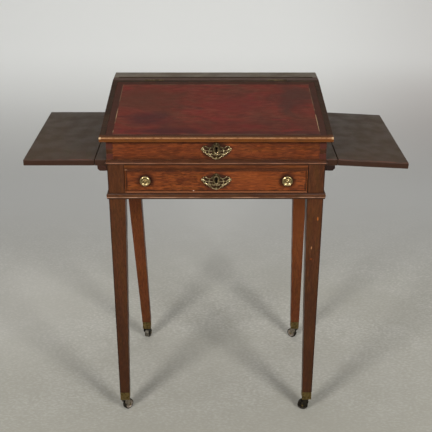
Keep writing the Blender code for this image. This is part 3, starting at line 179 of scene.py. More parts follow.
KEYHOLE_EYE = (0.0033, 0.0062)
KEYHOLE_SLOT = (0.0038, 0.0104)
KEYHOLE_STEPS = 12

# Screws, pins and hinge plates: a screw is its head's radius, a round head its radius and rise
SCREW_STEPS = 8
SCREW_SLOT = 0.15
SCREW_RISE = 0.00025
LEAF_SCREW = 0.0026
LEAF_SCREW_PLACES = ((-0.7, 0.012), (0.7, 0.012), (0, 0.019))
LOCK_SCREW = 0.0024
LOCK_SCREW_INSET = 0.005
LINK_SCREW = 0.0022
LINK_SCREW_SHARES = (-0.7, 0.7)
LID_HINGE_SCREW = 0.0018
LID_HINGE_SCREW_SHARES = (0.15, 0.5, 0.85)
LID_HINGE_SCREW_HEIGHT = 0.0042
RIVET = (0.0028, 0.0009)
CUP_PIN = (0.0014, 0.0006)
RIGHT_LEAF_DROOP = math.radians(3)
LEAF_HINGE_LENGTH = 0.0422
LEAF_HINGE_INSET = 0.07
LEAF_FLAP_WIDTH = 0.0242
LEAF_FLAP_PROUD = 0.00045
LEAF_KNUCKLE_RADIUS = 0.00252
LEAF_KNUCKLE_BORE = 0.0013
KNUCKLE_CLEARANCE = 0.0003

CORNERS = ("front_left", "front_right", "back_left", "back_right")
SIDES = ("left", "right")
X_AXIS, Y_AXIS, Z_AXIS = 0, 1, 2
QUARTER = math.pi / 2

# Places on the desk that the finishes go by
LID_LOW, LID_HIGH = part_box("lid_board")
LEATHER_LOW, LEATHER_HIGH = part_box("lid_leather")
BOX_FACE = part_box("box_front")[0].y
POST_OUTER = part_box("leg_front_right")[1].x
WAIST_LOW, WAIST_TOP = (corner.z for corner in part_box("waist_moulding"))
LEDGE_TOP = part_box("pen_ledge")[1].z
GROOVE_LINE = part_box("pen_ledge")[0].y + LEDGE_FRONT_STRIP


def middle_and_half(node):
    """The middle of a CAD node's box and half its size."""
    low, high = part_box(node)
    return (low + high) / 2, (high - low) / 2


def tone(red, green, blue):
    """A colour from its screen values, 0 to 255."""
    linear = []
    for level in (red, green, blue):
        share = level / 255
        linear.append(share / 12.92 if share <= 0.04045 else ((share + 0.055) / 1.055) ** 2.4)
    return (*linear, 1)


def shifted(colour, shares):
    """A colour with each of its parts scaled."""
    return (*(level * share for level, share in zip(colour, shares)), 1)


def along(grain, length_scale, cross_scale):
    """Scales for a pattern drawn out along the grain."""
    return tuple(length_scale if axis == grain else cross_scale for axis in range(3))


class Surface:
    """A material in the making: each call adds nodes, and most give the output that comes next.

    Across, run and height are a place's coordinates on the desk, and aside is how far it is from the middle.
    Patterns lie at a place that each piece moves by an amount of its own, so that no two boards are alike.
    """

    PIECE_SHIFT = (3.1, 5.3, 7.7)

    def __init__(self, name):
        self.material = bpy.data.materials.new(name)
        self.material.use_nodes = True
        self.tree = self.material.node_tree
        self.shader = self.tree.nodes["Principled BSDF"]
        self.colour = None
        self.dull = None
        desk = self.node("TexCoord").outputs["Object"]
        self.across, self.run, self.height = self.parts_of(desk)
        self.aside = self.off(self.across)
        chance = self.node("ObjectInfo").outputs["Random"]
        shift = self.node("CombineXYZ", {0: chance, 1: chance, 2: chance}).outputs[0]
        self.place = self.vector("ADD", desk, self.vector("MULTIPLY", shift, self.PIECE_SHIFT))

    def feed(self, socket, value):
        """Links an output, or sets a value; three screen values make a colour."""
        if isinstance(value, bpy.types.NodeSocket):
            self.tree.links.new(value, socket)
        elif socket.type == "RGBA" and len(value) == 3:
            socket.default_value = tone(*value)
        else:
            socket.default_value = value

    def set(self, **values):
        """Feeds the shader: base_color=..., roughness=... and so on."""
        for name, value in values.items():
            self.feed(self.shader.inputs[name.replace("_", " ").title().replace("Ior", "IOR")], value)

    def node(self, kind, inputs=(), **settings):
        made = self.tree.nodes.new("ShaderNode" + kind)
        for key, value in settings.items():
            setattr(made, key, value)
        for key, value in dict(inputs).items():
            self.feed(made.inputs[key], value)
        return made

    def math(self, operation, *values):
        """One operation over two or more values, from the first to the last."""
        result = values[0]
        for value in values[1:]:
            result = self.node("Math", {0: result, 1: value}, operation=operation).outputs[0]
        return result

    def plus(self, *values):
        return self.math("ADD", *values)

    def minus(self, a, b):
        return self.math("SUBTRACT", a, b)

    def times(self, *values):
        return self.math("MULTIPLY", *values)

    def least(self, *values):
        return self.math("MINIMUM", *values)

    def off(self, value, level=0):
        """How far a value is from a level."""
        return self.node("Math", {0: self.minus(value, level)}, operation="ABSOLUTE").outputs[0]

    def reach(self, a, b):
        """The length of a flat step."""
        squares = self.plus(self.times(a, a), self.times(b, b))
        return self.node("Math", {0: squares}, operation="SQRT").outputs[0]

    def halves(self, value, middle, half):
        """A value's distance from the middle, in half widths."""
        return self.math("DIVIDE", self.minus(value, middle), half)

    def vector(self, operation, a, b):
        return self.node("VectorMath", {0: a, 1: b}, operation=operation).outputs[0]

    def parts_of(self, vector):
        return self.node("SeparateXYZ", {0: vector}).outputs

    def ramp(self, value, low, high, start=0, end=1):
        """Start up to low, end from high, and smooth between."""
        inputs = {"Value": value, "From Min": low, "From Max": high, "To Min": start, "To Max": end}
        return self.node("MapRange", inputs, interpolation_type="SMOOTHSTEP").outputs["Result"]

    def band(self, value, level, inner, outer, share=1):
        """The share within the inner distance of a level, 0 beyond the outer one, and smooth between."""
        return self.ramp(self.off(value, level), inner, outer, share, 0)

    def on_right(self, share=1):
        """The share on the desk's right half, 0 on its left."""
        return self.ramp(self.across, 0, 0.1, 0, share)

    def mix(self, share, a, b):
        return self.node("Mix", {0: share, 6: a, 7: b}, data_type="RGBA").outputs[2]

    def tint(self, shade, share, *span):
        """Mixes a shade into the colour: by a share, or by a value that is ramped over a span."""
        self.colour = self.mix(self.ramp(share, *span) if span else share, self.colour, shade)

    def noise(self, scale, detail=2, distortion=0, shift=None):
        """Noise, with one scale or one for each direction."""
        place = self.vector("ADD", self.place, shift) if shift else self.place
        if isinstance(scale, tuple):
            place = self.vector("MULTIPLY", place, scale)
            scale = 1
        inputs = {"Vector": place, "Scale": scale, "Detail": detail, "Distortion": distortion}
        return self.node("TexNoise", inputs).outputs["Fac"]

    def broken(self, scales, low, high, least, detail=4, most=1):
        """A share that keeps a line or a rubbed patch from running evenly."""
        return self.ramp(self.noise(scales, detail), low, high, least, most)

    def hollow(self, reach, low, high):
        """1 in corners and gaps, 0 on open faces."""
        made = self.node("AmbientOcclusion", {"Distance": reach}, samples=8)
        return self.ramp(made.outputs["AO"], low, high, 1, 0)

    def edge(self, reach, low, high):
        """1 on edges, 0 on flat faces."""
        rounded = self.node("Bevel", {"Radius": reach}, samples=4).outputs["Normal"]
        flat = self.node("NewGeometry").outputs["True Normal"]
        made = self.node("VectorMath", {0: rounded, 1: flat}, operation="DOT_PRODUCT")
        return self.ramp(made.outputs["Value"], 1 - high, 1 - low, 1, 0)

    def bump(self, height, depth, strength):
        made = self.node("Bump", {"Height": height, "Distance": depth, "Strength": strength})
        self.feed(self.shader.inputs["Normal"], made.outputs["Normal"])


WORN = (140, 88, 54)
PALE_WORN = (112, 84, 64)
BLACK = (14, 9, 6)


def wood(
    name, grain, tones, finish=None, worn=WORN, wear=0.5, grime_and_shade_share=0.75, roughness=0.36, sheen=0.2, flecks=0.5
):
    """Polished wood with figure, streaks and pores along one axis, worn edges, and soiling with painted shade
    in its corners.

    Its tones are dark, middle and light. A finish is a function that may tint the wood before the wear goes
    on, and set where it is dull.
    """
    dark, middle, light = (tone(*values) for values in tones)
    s = Surface(name)
    figure = s.noise(along(grain, 3.4, 24), 4, 1.2)
    streak = s.noise(along(grain, 22, 280), 5, 0.4)
    fleck = s.noise(along(grain, 62, 330), 3)
    spark = s.noise(along(grain, 58, 310), 3, shift=(0.37, 0.61, 0.23))
    amber = s.noise(along(grain, 14, 80), 3)
    pore = s.noise(along(grain, 90, 2100))
    s.colour = s.mix(s.ramp(figure, 0.34, 0.62), dark, middle)
    s.tint(shifted(middle, (0.96, 1.22, 0.8)), amber, 0.44, 0.66, 0, 0.6)
    s.tint(light, streak, 0.46, 0.72, 0, 0.5)
    s.tint(shifted(dark, (0.58, 0.58, 0.58)), fleck, 0.47, 0.62, 0, 0.9 * flecks)
    s.tint(shifted(light, (1.22, 1.18, 1.15)), spark, 0.52, 0.66, 0, 0.8 * flecks)
    s.tint(dark, s.noise(9), 0.3, 0.72, 0.42, 0)
    s.tint((28, 14, 8), pore, 0.57, 0.66, 0, 0.55)
    if finish:
        finish(s)
    faces = s.parts_of(s.node("TexCoord").outputs["Normal"])
    s.tint((42, 24, 18), s.off(faces[grain]), 0.8, 0.95, 0, 0.4)
    s.tint(worn, s.times(s.edge(0.0022, 0.03, 0.25), s.ramp(s.noise(38, 3), 0.38, 0.66), wear))
    # Occlusion darkens corners and gaps: partly soiling, partly painted shade.
    grime_and_shade = s.times(s.hollow(0.014, 0.25, 0.85), grime_and_shade_share)
    s.tint((24, 14, 9), grime_and_shade)
    gloss = s.ramp(s.noise(24, 3), 0.3, 0.7, roughness - 0.06, roughness + 0.1)
    gloss = s.plus(gloss, s.times(grime_and_shade, 0.25))
    if s.dull:
        gloss = s.plus(gloss, s.times(s.dull, 0.3))
    s.set(base_color=s.colour, roughness=gloss, specular_ior_level=sheen)
    relief = s.plus(s.times(s.noise(along(grain, 6, 30)), 1.2), s.times(streak, 0.25))
    s.bump(s.minus(relief, s.times(s.ramp(pore, 0.57, 0.66), 0.25)), 0.0004, 0.35)
    return s.material


# Stains on the leather: distance from the middle and the front, half width and depth, tone and share
STAINS = (
    (-0.165, 0.075, 0.085, 0.06, (56, 29, 29), 0.7),
    (-0.12, 0.022, 0.16, 0.026, (52, 27, 27), 0.75),
    (-0.16, 0.2, 0.12, 0.09, (74, 40, 28), 0.6),
    (0.19, 0.19, 0.07, 0.1, (60, 36, 30), 0.6),
    (0.04, 0.16, 0.13, 0.06, (92, 34, 29), 0.5),
    (0.1, 0.012, 0.25, 0.014, (56, 29, 27), 0.6),
    (0.02, 0.045, 0.3, 0.045, (72, 31, 23), 0.45),
)


def leather(name):
    """Worn red leather: a browned margin, a broken gilt line inside it, scuffs and a fine grain."""
    s = Surface(name)
    patches = s.noise(7, 4, 0.8)
    fine = s.noise(60, 4)
    s.colour = s.mix(s.ramp(patches, 0.36, 0.62), (76, 39, 27), (91, 38, 29))
    s.tint((60, 34, 28), s.noise((9, 14, 9), 3, 1), 0.52, 0.76, 0, 0.7)
    s.tint((112, 60, 46), s.noise((30, 120, 30), 4, 0.3), 0.46, 0.74, 0, 0.35)
    blush = s.noise((14, 26, 14), 5, 0.8)
    s.tint((80, 46, 33), blush, 0.48, 0.7, 0, 0.6)
    s.tint((102, 35, 32), blush, 0.3, 0.46, 0.6, 0)
    mottle = s.noise((52, 115, 52), 5, 0.5)
    s.tint((112, 58, 46), mottle, 0.5, 0.68, 0, 0.22)
    s.tint((54, 27, 20), mottle, 0.34, 0.5, 0.26, 0)
    from_front = s.minus(s.run, LEATHER_LOW.y)
    for aside, behind, wide, deep, shade, share in STAINS:
        far = s.reach(s.halves(s.across, aside, wide), s.halves(from_front, behind, deep))
        far = s.plus(far, s.times(s.minus(patches, 0.5), 1.6))
        s.tint(shade, far, 0.35, 1, share, 0)
    inside = s.least(
        s.minus(LEATHER_HIGH.x - GILT_FROM_SIDE, s.aside),
        s.minus(from_front, GILT_FROM_FRONT),
        s.minus(LEATHER_HIGH.y - GILT_FROM_BACK, s.run),
    )
    ragged = s.plus(inside, s.times(s.minus(fine, 0.5), 0.004))
    s.tint((52, 32, 23), ragged, -0.001, 0.0015, 0.85, 0)
    line = s.band(inside, 0, 0.0004, 0.0009)
    kept = s.times(s.ramp(from_front, 0.1, 0.15, 1, 0.25), s.ramp(from_front, 0.012, 0.02, 0.2, 1))
    gilt = s.times(line, s.broken(17, 0.44, 0.56, 0), kept)
    s.tint((186, 156, 118), s.times(gilt, 0.8))
    # Painted shade in the corners where the leather meets the wood round it.
    s.tint((30, 18, 14), s.times(s.hollow(0.006, 0.4, 0.95), 0.6))
    gloss = s.ramp(patches, 0.3, 0.7, 0.42, 0.58)
    s.set(base_color=s.colour, roughness=gloss, specular_ior_level=0.08, metallic=s.times(gilt, 0.6))
    cells = s.node("TexVoronoi", {"Vector": s.place, "Scale": 950}).outputs["Distance"]
    relief = s.plus(s.times(cells, 0.5), s.times(fine, 0.6))
    s.bump(s.minus(relief, s.times(line, 0.6)), 0.0003, 0.5)
    return s.material


def metal(name, bright, tarnish, deep, roughness, patina, finish=None):
    """Aged metal: rubbed bright on its edges, tarnished in patches and dark in its hollows.

    A finish is a function that may tint it before the hollows darken it.
    """
    s = Surface(name)
    patch = s.noise(140, 4)
    s.colour = s.mix(s.ramp(patch, 0.38, 0.66, 0, patina), bright, tarnish)
    s.tint(bright, s.times(s.edge(0.0006, 0.03, 0.3), 0.5))
    if finish:
        finish(s)
    grime_and_shade = s.hollow(0.004, 0.2, 0.8)
    s.tint(deep, s.times(grime_and_shade, 0.85))
    gloss = s.ramp(patch, 0.3, 0.7, roughness - 0.06, roughness + 0.14)
    s.set(base_color=s.colour, roughness=s.plus(gloss, s.times(grime_and_shade, 0.2)), metallic=1)
    s.bump(s.noise(900, 3), 0.0001, 0.4)
    return s.material


def worn_nose(s):
    """The lid's front edge: rubbed down to the orange wood, with painted shade above its nose line, painted
    light along its lower edge, and painted highlights along its upper corner and at its tips.
    """
    behind = s.minus(s.run, LID_LOW.y)
    up = s.minus(s.height, LID_LOW.z)
    # The rubbed wood: darker above the nose line, as painted shade on the rounded top.
    bare_shaded_above = s.mix(s.ramp(up, NOSE_LINE, NOSE_LINE + 0.002), (100, 55, 21), (77, 43, 17))
    rub = s.ramp(behind, 0.01, NOSE_DEPTH, 1, 0)
    s.tint(bare_shaded_above, s.times(rub, s.broken((40, 200, 200), 0.25, 0.6, 0.45, 3, 0.95)))
    front = s.ramp(behind, 0.004, 0.007, 1, 0)
    # Painted light on the lower part of the nose's front, lifting the shade there.
    s.tint((166, 98, 50), s.times(s.ramp(up, 0.001, 0.0045, 0.7, 0), front))
    # A painted highlight along the nose's upper corner.
    line = s.times(s.band(up, NOSE_LINE, 0.0003, 0.0008), front)
    s.tint((168, 126, 88), s.times(line, s.broken((120, 60, 60), 0.3, 0.58, 0.35, 3)))
    # Painted highlights at the nose's two tips.
    tip_highlight = s.ramp(s.minus(s.aside, LID_HIGH.x), -0.007, -0.002, 0, 0.6)
    s.tint((206, 178, 138), s.times(tip_highlight, s.band(up, NOSE_LINE, 0.0012, 0.0035), front))


def handled_strip(s):
    """The ledge in front of its pen groove, browned by handling, and painted shade down in the groove."""
    behind = s.minus(s.run, GROOVE_LINE)
    s.dull = s.ramp(behind, 0, 0.003, 0.85, 0)
    s.tint((58, 32, 18), s.dull)
    # Painted shade down in the pen groove.
    depth = s.ramp(s.minus(LEDGE_TOP, s.height), 0.0003, 0.0016, 0, 0.9)
    groove = s.times(s.ramp(behind, -0.004, -0.002), s.ramp(behind, 0.012, 0.014, 1, 0))
    s.tint((26, 17, 11), s.times(depth, groove))


def lip_wear_and_highlight(s):
    """The waist moulding: its low edge partly rubbed through the polish and partly a painted highlight,
    painted shade on its cove above, a painted shadow along its foot, its ends dark.
    """
    up = s.minus(s.height, WAIST_LOW)
    # Painted shade on the moulding's cove above the lip.
    s.tint((40, 20, 10), up, 0.0045, 0.006, 0, 0.35)
    # A painted shadow along the moulding's foot.
    s.tint((36, 18, 10), up, 0.001, 0.002, 0.85, 0)
    # The lip line: partly rubbed through the polish, partly a painted highlight.
    lip = s.band(up, LIP_HEIGHT, 0.0004, 0.001)
    s.tint((138, 97, 73), s.times(lip, s.broken((30, 80, 80), 0.3, 0.62, 0.45)))
    s.tint((44, 30, 24), s.minus(s.aside, POST_OUTER), 0.0002, 0.0012, 0, 0.85)


def round_keyhole(s, plate):
    """Grime and painted shade in the piercings of a keyhole plate, and black painted shade round its keyhole.
    """
    middle, half = middle_and_half(plate)
    wide = s.halves(s.across, middle.x, half.x)
    tall = s.halves(s.height, middle.z, half.z)
    # Grime and painted shade on the wood behind the plate's piercings.
    s.tint((34, 18, 10), s.reach(wide, tall), 0.8, 1.05, 0.8, 0)
    # Black painted shade where the keyhole shows the wood behind the plate.
    s.tint(BLACK, s.times(s.band(wide, 0, 0.14, 0.2), s.band(tall, 0.12, 0.42, 0.5)))


def rim_grime_and_shade(s, node, width, share):
    """Grime and painted shade along a board's outline, seen from the front."""
    low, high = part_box(node)
    rim = s.least(s.minus(high.x, s.aside), s.minus(s.height, low.z), s.minus(high.z, s.height))
    ragged = s.times(s.minus(s.noise((60, 60, 160), 3), 0.5), width)
    s.tint((34, 17, 9), s.plus(rim, ragged), 0.4 * width, width, share, 0)


def chips(s, marks):
    """Small chips on a front face, each with its place, half width, half height and tone."""
    for x, z, wide, tall, shade in marks:
        aside, above = s.halves(s.across, x, wide), s.halves(s.height, z, tall)
        s.tint(shade, s.plus(s.times(aside, aside), s.times(above, above)), 0.3, 1, 0.9, 0)


def box_marks(s):
    """The desk box's front: soiling and painted shade round its edges and just above the moulding, dark at
    its ends, and soiling and painted shade where the plate sits.
    """
    rim_grime_and_shade(s, "box_front", 0.0045, 0.6)
    # Painted shade and soiling just above the waist moulding.
    s.tint((50, 24, 12), s.minus(s.height, WAIST_TOP), 0.001, 0.011, 0.5, 0)
    s.tint((42, 25, 13), s.aside, 0.238, 0.242, 0, 0.7)
    round_keyhole(s, "escutcheon_upper")


def tail_ends(s):
    """The box sides: the dovetails' ends, redder than the pins between them."""
    s.tint((89, 42, 33), s.minus(s.run, BOX_FACE), 0.001, 0.0022, 0.85, 0)


def drawer_marks(s):
    """The drawer front: warmer right of the keyhole, with soiling and painted shade along its cock bead, and
    painted shadows with soiling round the knobs.
    """
    s.tint((130, 63, 25), s.band(s.across, 0.085, 0.02, 0.08, 0.42))
    rim_grime_and_shade(s, "drawer_front", 0.0085, 0.75)
    knob, _ = middle_and_half("knob_right")
    # Painted shadows of the knobs, with soiling, on the front round them.
    far = s.reach(s.minus(s.aside, knob.x), s.minus(s.height, knob.z))
    s.tint((38, 18, 10), far, 0.012, 0.024, 0.7, 0)
    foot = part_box("drawer_front")[0].z
    chips(s, [(-0.0535, foot + 0.0045, 0.0016, 0.0014, (214, 196, 180))])
    round_keyhole(s, "escutcheon_lower")


def darker_crest(s):
    """The escutcheons: darker above between their ends, the upper plate more than the lower."""
    between = s.ramp(s.aside, 0.018, 0.026, 1, 0)
    for plate, share in (("escutcheon_upper", 0.65), ("escutcheon_lower", 0.4)):
        low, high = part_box(plate)
        tall = high.z - low.z
        crest = s.ramp(s.height, low.z + 0.42 * tall, low.z + 0.72 * tall, 0, share)
        under = s.ramp(s.height, high.z + 0.001, high.z + 0.002, 1, 0)
        s.tint((78, 66, 48), s.times(crest, under, between))


def bead_marks(s):
    """The base bead: a pale line along its crown, partly rubbed and partly a painted highlight, and painted
    shade along its top and bottom edges.
    """
    low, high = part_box("base_bead")
    up = s.minus(s.height, low.z)
    # Painted shade along the bead's bottom and top edges.
    s.tint((34, 19, 12), up, 0.0004, 0.0012, 0.75, 0)
    s.tint((34, 19, 12), s.minus(s.height, high.z), -0.0036, -0.0022, 0, 0.5)
    # The pale line: partly rubbed, partly a painted highlight.
    line = s.band(up, 0.0026, 0.0007, 0.0015)
    s.tint((178, 138, 114), s.times(line, s.broken((26, 26, 60), 0.34, 0.62, 0.25)))


def rail_marks(s):
    """The rail over the drawer: painted shadow under the moulding and painted shade along its lower edge."""
    # Painted shadow under the moulding.
    s.tint((40, 18, 9), s.minus(s.height, WAIST_LOW), -0.006, -0.003, 0, 0.5)
    # Painted shade along the rail's lower edge, over the drawer.
    s.tint((40, 18, 9), s.minus(s.height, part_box("front_top_rail")[0].z), 0.0015, 0.0055, 0.45, 0)


def cockbead_marks(s):
    """The cock bead: its lower run pale, partly rubbed and partly a painted highlight, its upper one darker
    as painted shade and chipped at the left.
    """
    low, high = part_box("drawer_cockbead")
    # Painted shade on the upper run, under the rail.
    s.tint((40, 18, 10), s.minus(s.height, high.z), -0.0032, -0.0018, 0, 0.55)
    chips(s, [(low.x + 0.0035, high.z - 0.0012, 0.005, 0.0012, (134, 96, 72))])
    # The lower run's pale line: partly rubbed, partly a painted highlight.
    s.tint((168, 108, 72), s.minus(s.height, low.z), 0.0016, 0.003, 0.7, 0)


LEG_CHIPS = (
    (0.244, 0.571, 0.0022, 0.006, (150, 84, 34)),
    (0.2325, 0.493, 0.0016, 0.005, (160, 112, 76)),
    (0.233, 0.462, 0.004, 0.003, (104, 50, 20)),
)


def shaded_foot(s):
    """The front legs: darker towards their feet, with painted shade along their outer edges and a painted
    shadow between the right one and the drawer, the right one chipped.
    """
    s.tint((34, 18, 11), s.height, 0.1, 0.55, 0.32, 0)
    # Painted shade along the legs' outer edges.
    s.tint((30, 17, 11), s.minus(s.aside, POST_OUTER), -0.0036, -0.0012, 0, 0.6)
    # A painted shadow on the right leg beside the drawer.
    gap_shadow = s.ramp(s.minus(s.across, POST_OUTER - POST_TOP_WIDTH), 0.0006, 0.0018, 0.9, 0)
    s.tint((16, 9, 6), s.times(gap_shadow, s.on_right()))
    chips(s, LEG_CHIPS)


def back_leg_tints(s):
    """The back legs: darker towards their feet, and the right one a little lighter towards its top."""
    s.tint((40, 20, 11), s.height, 0.1, 0.4, 0.22, 0)
    s.tint((136, 74, 35), s.times(s.ramp(s.height, 0.2, 0.5, 0, 0.5), s.on_right()))


def leaf_edge(s):
    """The leaves and strips: redder on their front edges, with a broken rubbed line behind the corner."""
    behind = s.minus(s.run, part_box("leaf_left")[0].y)
    s.tint((56, 31, 19), behind, 0.0006, 0.002, 0.7, 0)
    line = s.band(behind, 0.0036, 0.0016, 0.003, 0.8)
    s.tint((100, 56, 40), s.times(line, s.broken((22, 60, 60), 0.42, 0.58, 0.1)))


def shaded_right_bearer(s):
    """The bearers under the leaves: the right one is darker, as painted shade."""
    s.tint((14, 10, 9), s.on_right(0.85))


RAIL_TONES = ((82, 41, 18), (108, 55, 25), (128, 69, 34))
SIDE_TONES = ((68, 35, 19), (86, 45, 24), (104, 57, 31))
BOX_WOOD = wood("box_mahogany", X_AXIS, ((80, 36, 16), (103, 48, 21), (124, 63, 28)), box_marks, flecks=0.7)
DRAWER_WOOD = wood(
    "drawer_mahogany", X_AXIS, ((84, 38, 17), (109, 53, 22), (131, 68, 30)), drawer_marks, flecks=0.9
)
LEG_WOOD = wood("leg_mahogany", Z_AXIS, ((62, 33, 17), (79, 43, 21), (93, 52, 28)), shaded_foot, wear=0.4)
# The back legs' wood is lighter than the front legs': partly a tone of its own, partly painted light.
BACK_LEG_WOOD = wood(
    "back_leg_mahogany", Z_AXIS, ((85, 42, 20), (106, 54, 25), (121, 66, 32)), back_leg_tints, wear=0.4
)
BEAD_WOOD = wood("bead_mahogany", X_AXIS, ((64, 35, 18), (82, 47, 24), (98, 58, 31)), bead_marks, wear=0.3)
MOULDING_WOOD = wood(
    "moulding_mahogany", X_AXIS, ((60, 30, 14), (78, 41, 20), (94, 52, 28)), lip_wear_and_highlight, wear=0.6
)
COCKBEAD_WOOD = wood("cockbead_mahogany", X_AXIS, RAIL_TONES, cockbead_marks, grime_and_shade_share=0.4)
FRONT_RAIL_WOOD = wood("front_rail_mahogany", X_AXIS, RAIL_TONES, rail_marks)
RAIL_WOOD = wood("rail_mahogany", X_AXIS, RAIL_TONES)
SIDE_WOOD = wood("side_mahogany", Y_AXIS, SIDE_TONES)
BOX_SIDE_WOOD = wood("box_side_mahogany", Y_AXIS, SIDE_TONES, tail_ends)
BEARER_WOOD = wood(
    "bearer_mahogany", Y_AXIS, ((50, 29, 22), (64, 37, 28), (78, 47, 36)), shaded_right_bearer, PALE_WORN, wear=0.4
)
LEAF_WOOD = wood(
    "leaf_mahogany", Y_AXIS, ((56, 40, 25), (60, 43, 26), (66, 47, 29)), leaf_edge, PALE_WORN,
    wear=0.25, grime_and_shade_share=0.4, roughness=0.4, sheen=0.23, flecks=0.3,
)
LEDGE_WOOD = wood(
    "ledge_mahogany", X_AXIS, ((66, 52, 34), (87, 70, 48), (103, 86, 61)), handled_strip, PALE_WORN,
    wear=0.35, grime_and_shade_share=0.6, sheen=0.36,
)
LID_WOOD = wood(
    "lid_mahogany", X_AXIS, ((38, 24, 14), (51, 33, 20), (64, 43, 26)), worn_nose,
    grime_and_shade_share=0.6, roughness=0.42, sheen=0.1,
)
LINING_WOOD = wood(
    "lining_wood", Y_AXIS, ((120, 86, 54), (148, 112, 74), (170, 136, 96)), worn=(186, 156, 116),
    wear=0.3, grime_and_shade_share=0.5, roughness=0.62, flecks=0.15,
)
LEATHER = leather("red_leather")
KNOB_BRASS = metal("knob_brass", (190, 168, 122), (102, 86, 48), (36, 28, 14), 0.33, 0.75)
CAST_BRASS = metal("cast_brass", (112, 96, 66), (54, 42, 26), (18, 12, 7), 0.4, 0.9, darker_crest)
RUBBED_BRASS = metal("rubbed_brass", (218, 198, 154), (134, 112, 72), (40, 30, 16), 0.3, 0.7, darker_crest)
DULL_BRASS = metal("dull_brass", (134, 114, 72), (84, 70, 40), (36, 28, 16), 0.44, 0.8)
DARK_BRASS = metal("dark_brass", (96, 84, 62), (46, 40, 32), (18, 15, 12), 0.48, 0.9)
WHEEL_FACE = metal("wheel_face", (184, 172, 160), (128, 116, 104), (48, 40, 33), 0.58, 0.6)
WHEEL_TREAD = metal("wheel_tread", (126, 120, 108), (84, 78, 68), (30, 26, 21), 0.72, 0.7)
WHEEL_DARK = metal("wheel_dark", (64, 59, 50), (36, 33, 29), (15, 13, 11), 0.6, 0.8)
HORN_PALE = metal("horn_pale", (150, 140, 124), (106, 96, 82), (34, 28, 22), 0.6, 0.6)
IRON = metal("iron", (92, 88, 84), (56, 50, 46), (20, 18, 16), 0.46, 0.8)

# Each castor's horn, wheel tread and wheel face. The castors are alike; their pale and dark tones are partly
# painted light and shade.
CASTOR_LOOKS = {
    "front_left": (HORN_PALE, WHEEL_DARK, WHEEL_FACE),
    "front_right": (WHEEL_DARK, WHEEL_DARK, WHEEL_DARK),
    "back_left": (WHEEL_DARK, WHEEL_TREAD, WHEEL_DARK),
    "back_right": (HORN_PALE, WHEEL_DARK, WHEEL_FACE),
}

# Boards with their easing, their wood and the shortest inner edge that is eased: those at a side, then all
SIDE_BOARDS = (
    ("side_rail_", 0.0006, SIDE_WOOD, 0.012),
    ("box_side_", 0.0005, BOX_SIDE_WOOD, 0.03),
    ("leaf_strip_", 0.0008, LEAF_WOOD, 0.05),
    ("leaf_bearer_", 0.001, BEARER_WOOD, 0.05),
    ("leaf_", 0.0016, LEAF_WOOD, 0.05),
    ("prop_", 0.001, SIDE_WOOD, 0.03),
    ("drawer_side_", 0.0006, LINING_WOOD, 0.012),
    ("drawer_runner_", 0.0006, LINING_WOOD, 0.012),
)
EASED = (
    ("leg_front_left leg_front_right", 0.001, LEG_WOOD, 0.012),
    ("leg_back_left leg_back_right", 0.001, BACK_LEG_WOOD, 0.012),
    ("front_top_rail", 0.0006, FRONT_RAIL_WOOD, 0.012),
    ("front_bottom_rail back_rail", 0.0006, RAIL_WOOD, 0.012),
    ("box_front", 0.0006, BOX_WOOD, 0.03),
    ("drawer_front", 0.0006, DRAWER_WOOD, 0.03),
    ("box_back", 0.0008, RAIL_WOOD, 0.012),
    ("pen_ledge", 0.0012, LEDGE_WOOD, 0.03),
    ("lid_board", 0.0014, LID_WOOD, 0.03),
    *((board + name, *rest) for name in SIDES for board, *rest in SIDE_BOARDS),
    ("drawer_back drawer_bottom box_floor", 0.0005, LINING_WOOD, 0.012),
)


def turned(angle, axis):
    return Matrix.Rotation(angle, 4, axis)


def moved(x, y, z):
    return Matrix.Translation((x, y, z))


def mirrored(points):
    return [(-x, z) for x, z in reversed(points)]


def circle(steps, radius=1):
    """Points round a flat circle."""
    turns = [2 * math.pi * i / steps for i in range(steps)]
    return [(radius * math.cos(turn), radius * math.sin(turn)) for turn in turns]


def body_of(node):
    return NODES[node]["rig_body"]


def joint_of(name):
    return next(joint for joint in frame["joints"] if joint["name"] == name)


def add_object(name, data):
    """An object in the scene, made from its data."""
    ob = bpy.data.objects.new(name, data)
    bpy.context.scene.collection.objects.link(ob)
    return ob


def add_piece(name, bm, materials, body, turn_out=True):
    """Makes a piece from its mesh and puts it on its body."""
    if turn_out:
        bmesh.ops.recalc_face_normals(bm, faces=bm.faces)
    mesh = bpy.data.meshes.new(name)
    bm.to_mesh(mesh)
    bm.free()
    for material in materials:
        mesh.materials.append(material)
    mesh.shade_smooth()
    mesh.set_sharp_from_angle(angle=SMOOTH_ANGLE)
    ob = add_object(name, mesh)
    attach(ob, body)
    return ob


def stand_in(name, node, bm, materials, turn_out=True):
    """A piece in place of a CAD node, on its body."""
    ob = add_piece(name, bm, materials, body_of(node), turn_out)
    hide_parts(node)
    return ob


def dress(node, material):
    """Gives a CAD node its finished material."""
    NODES[node].data.materials.clear()
    NODES[node].data.materials.append(material)


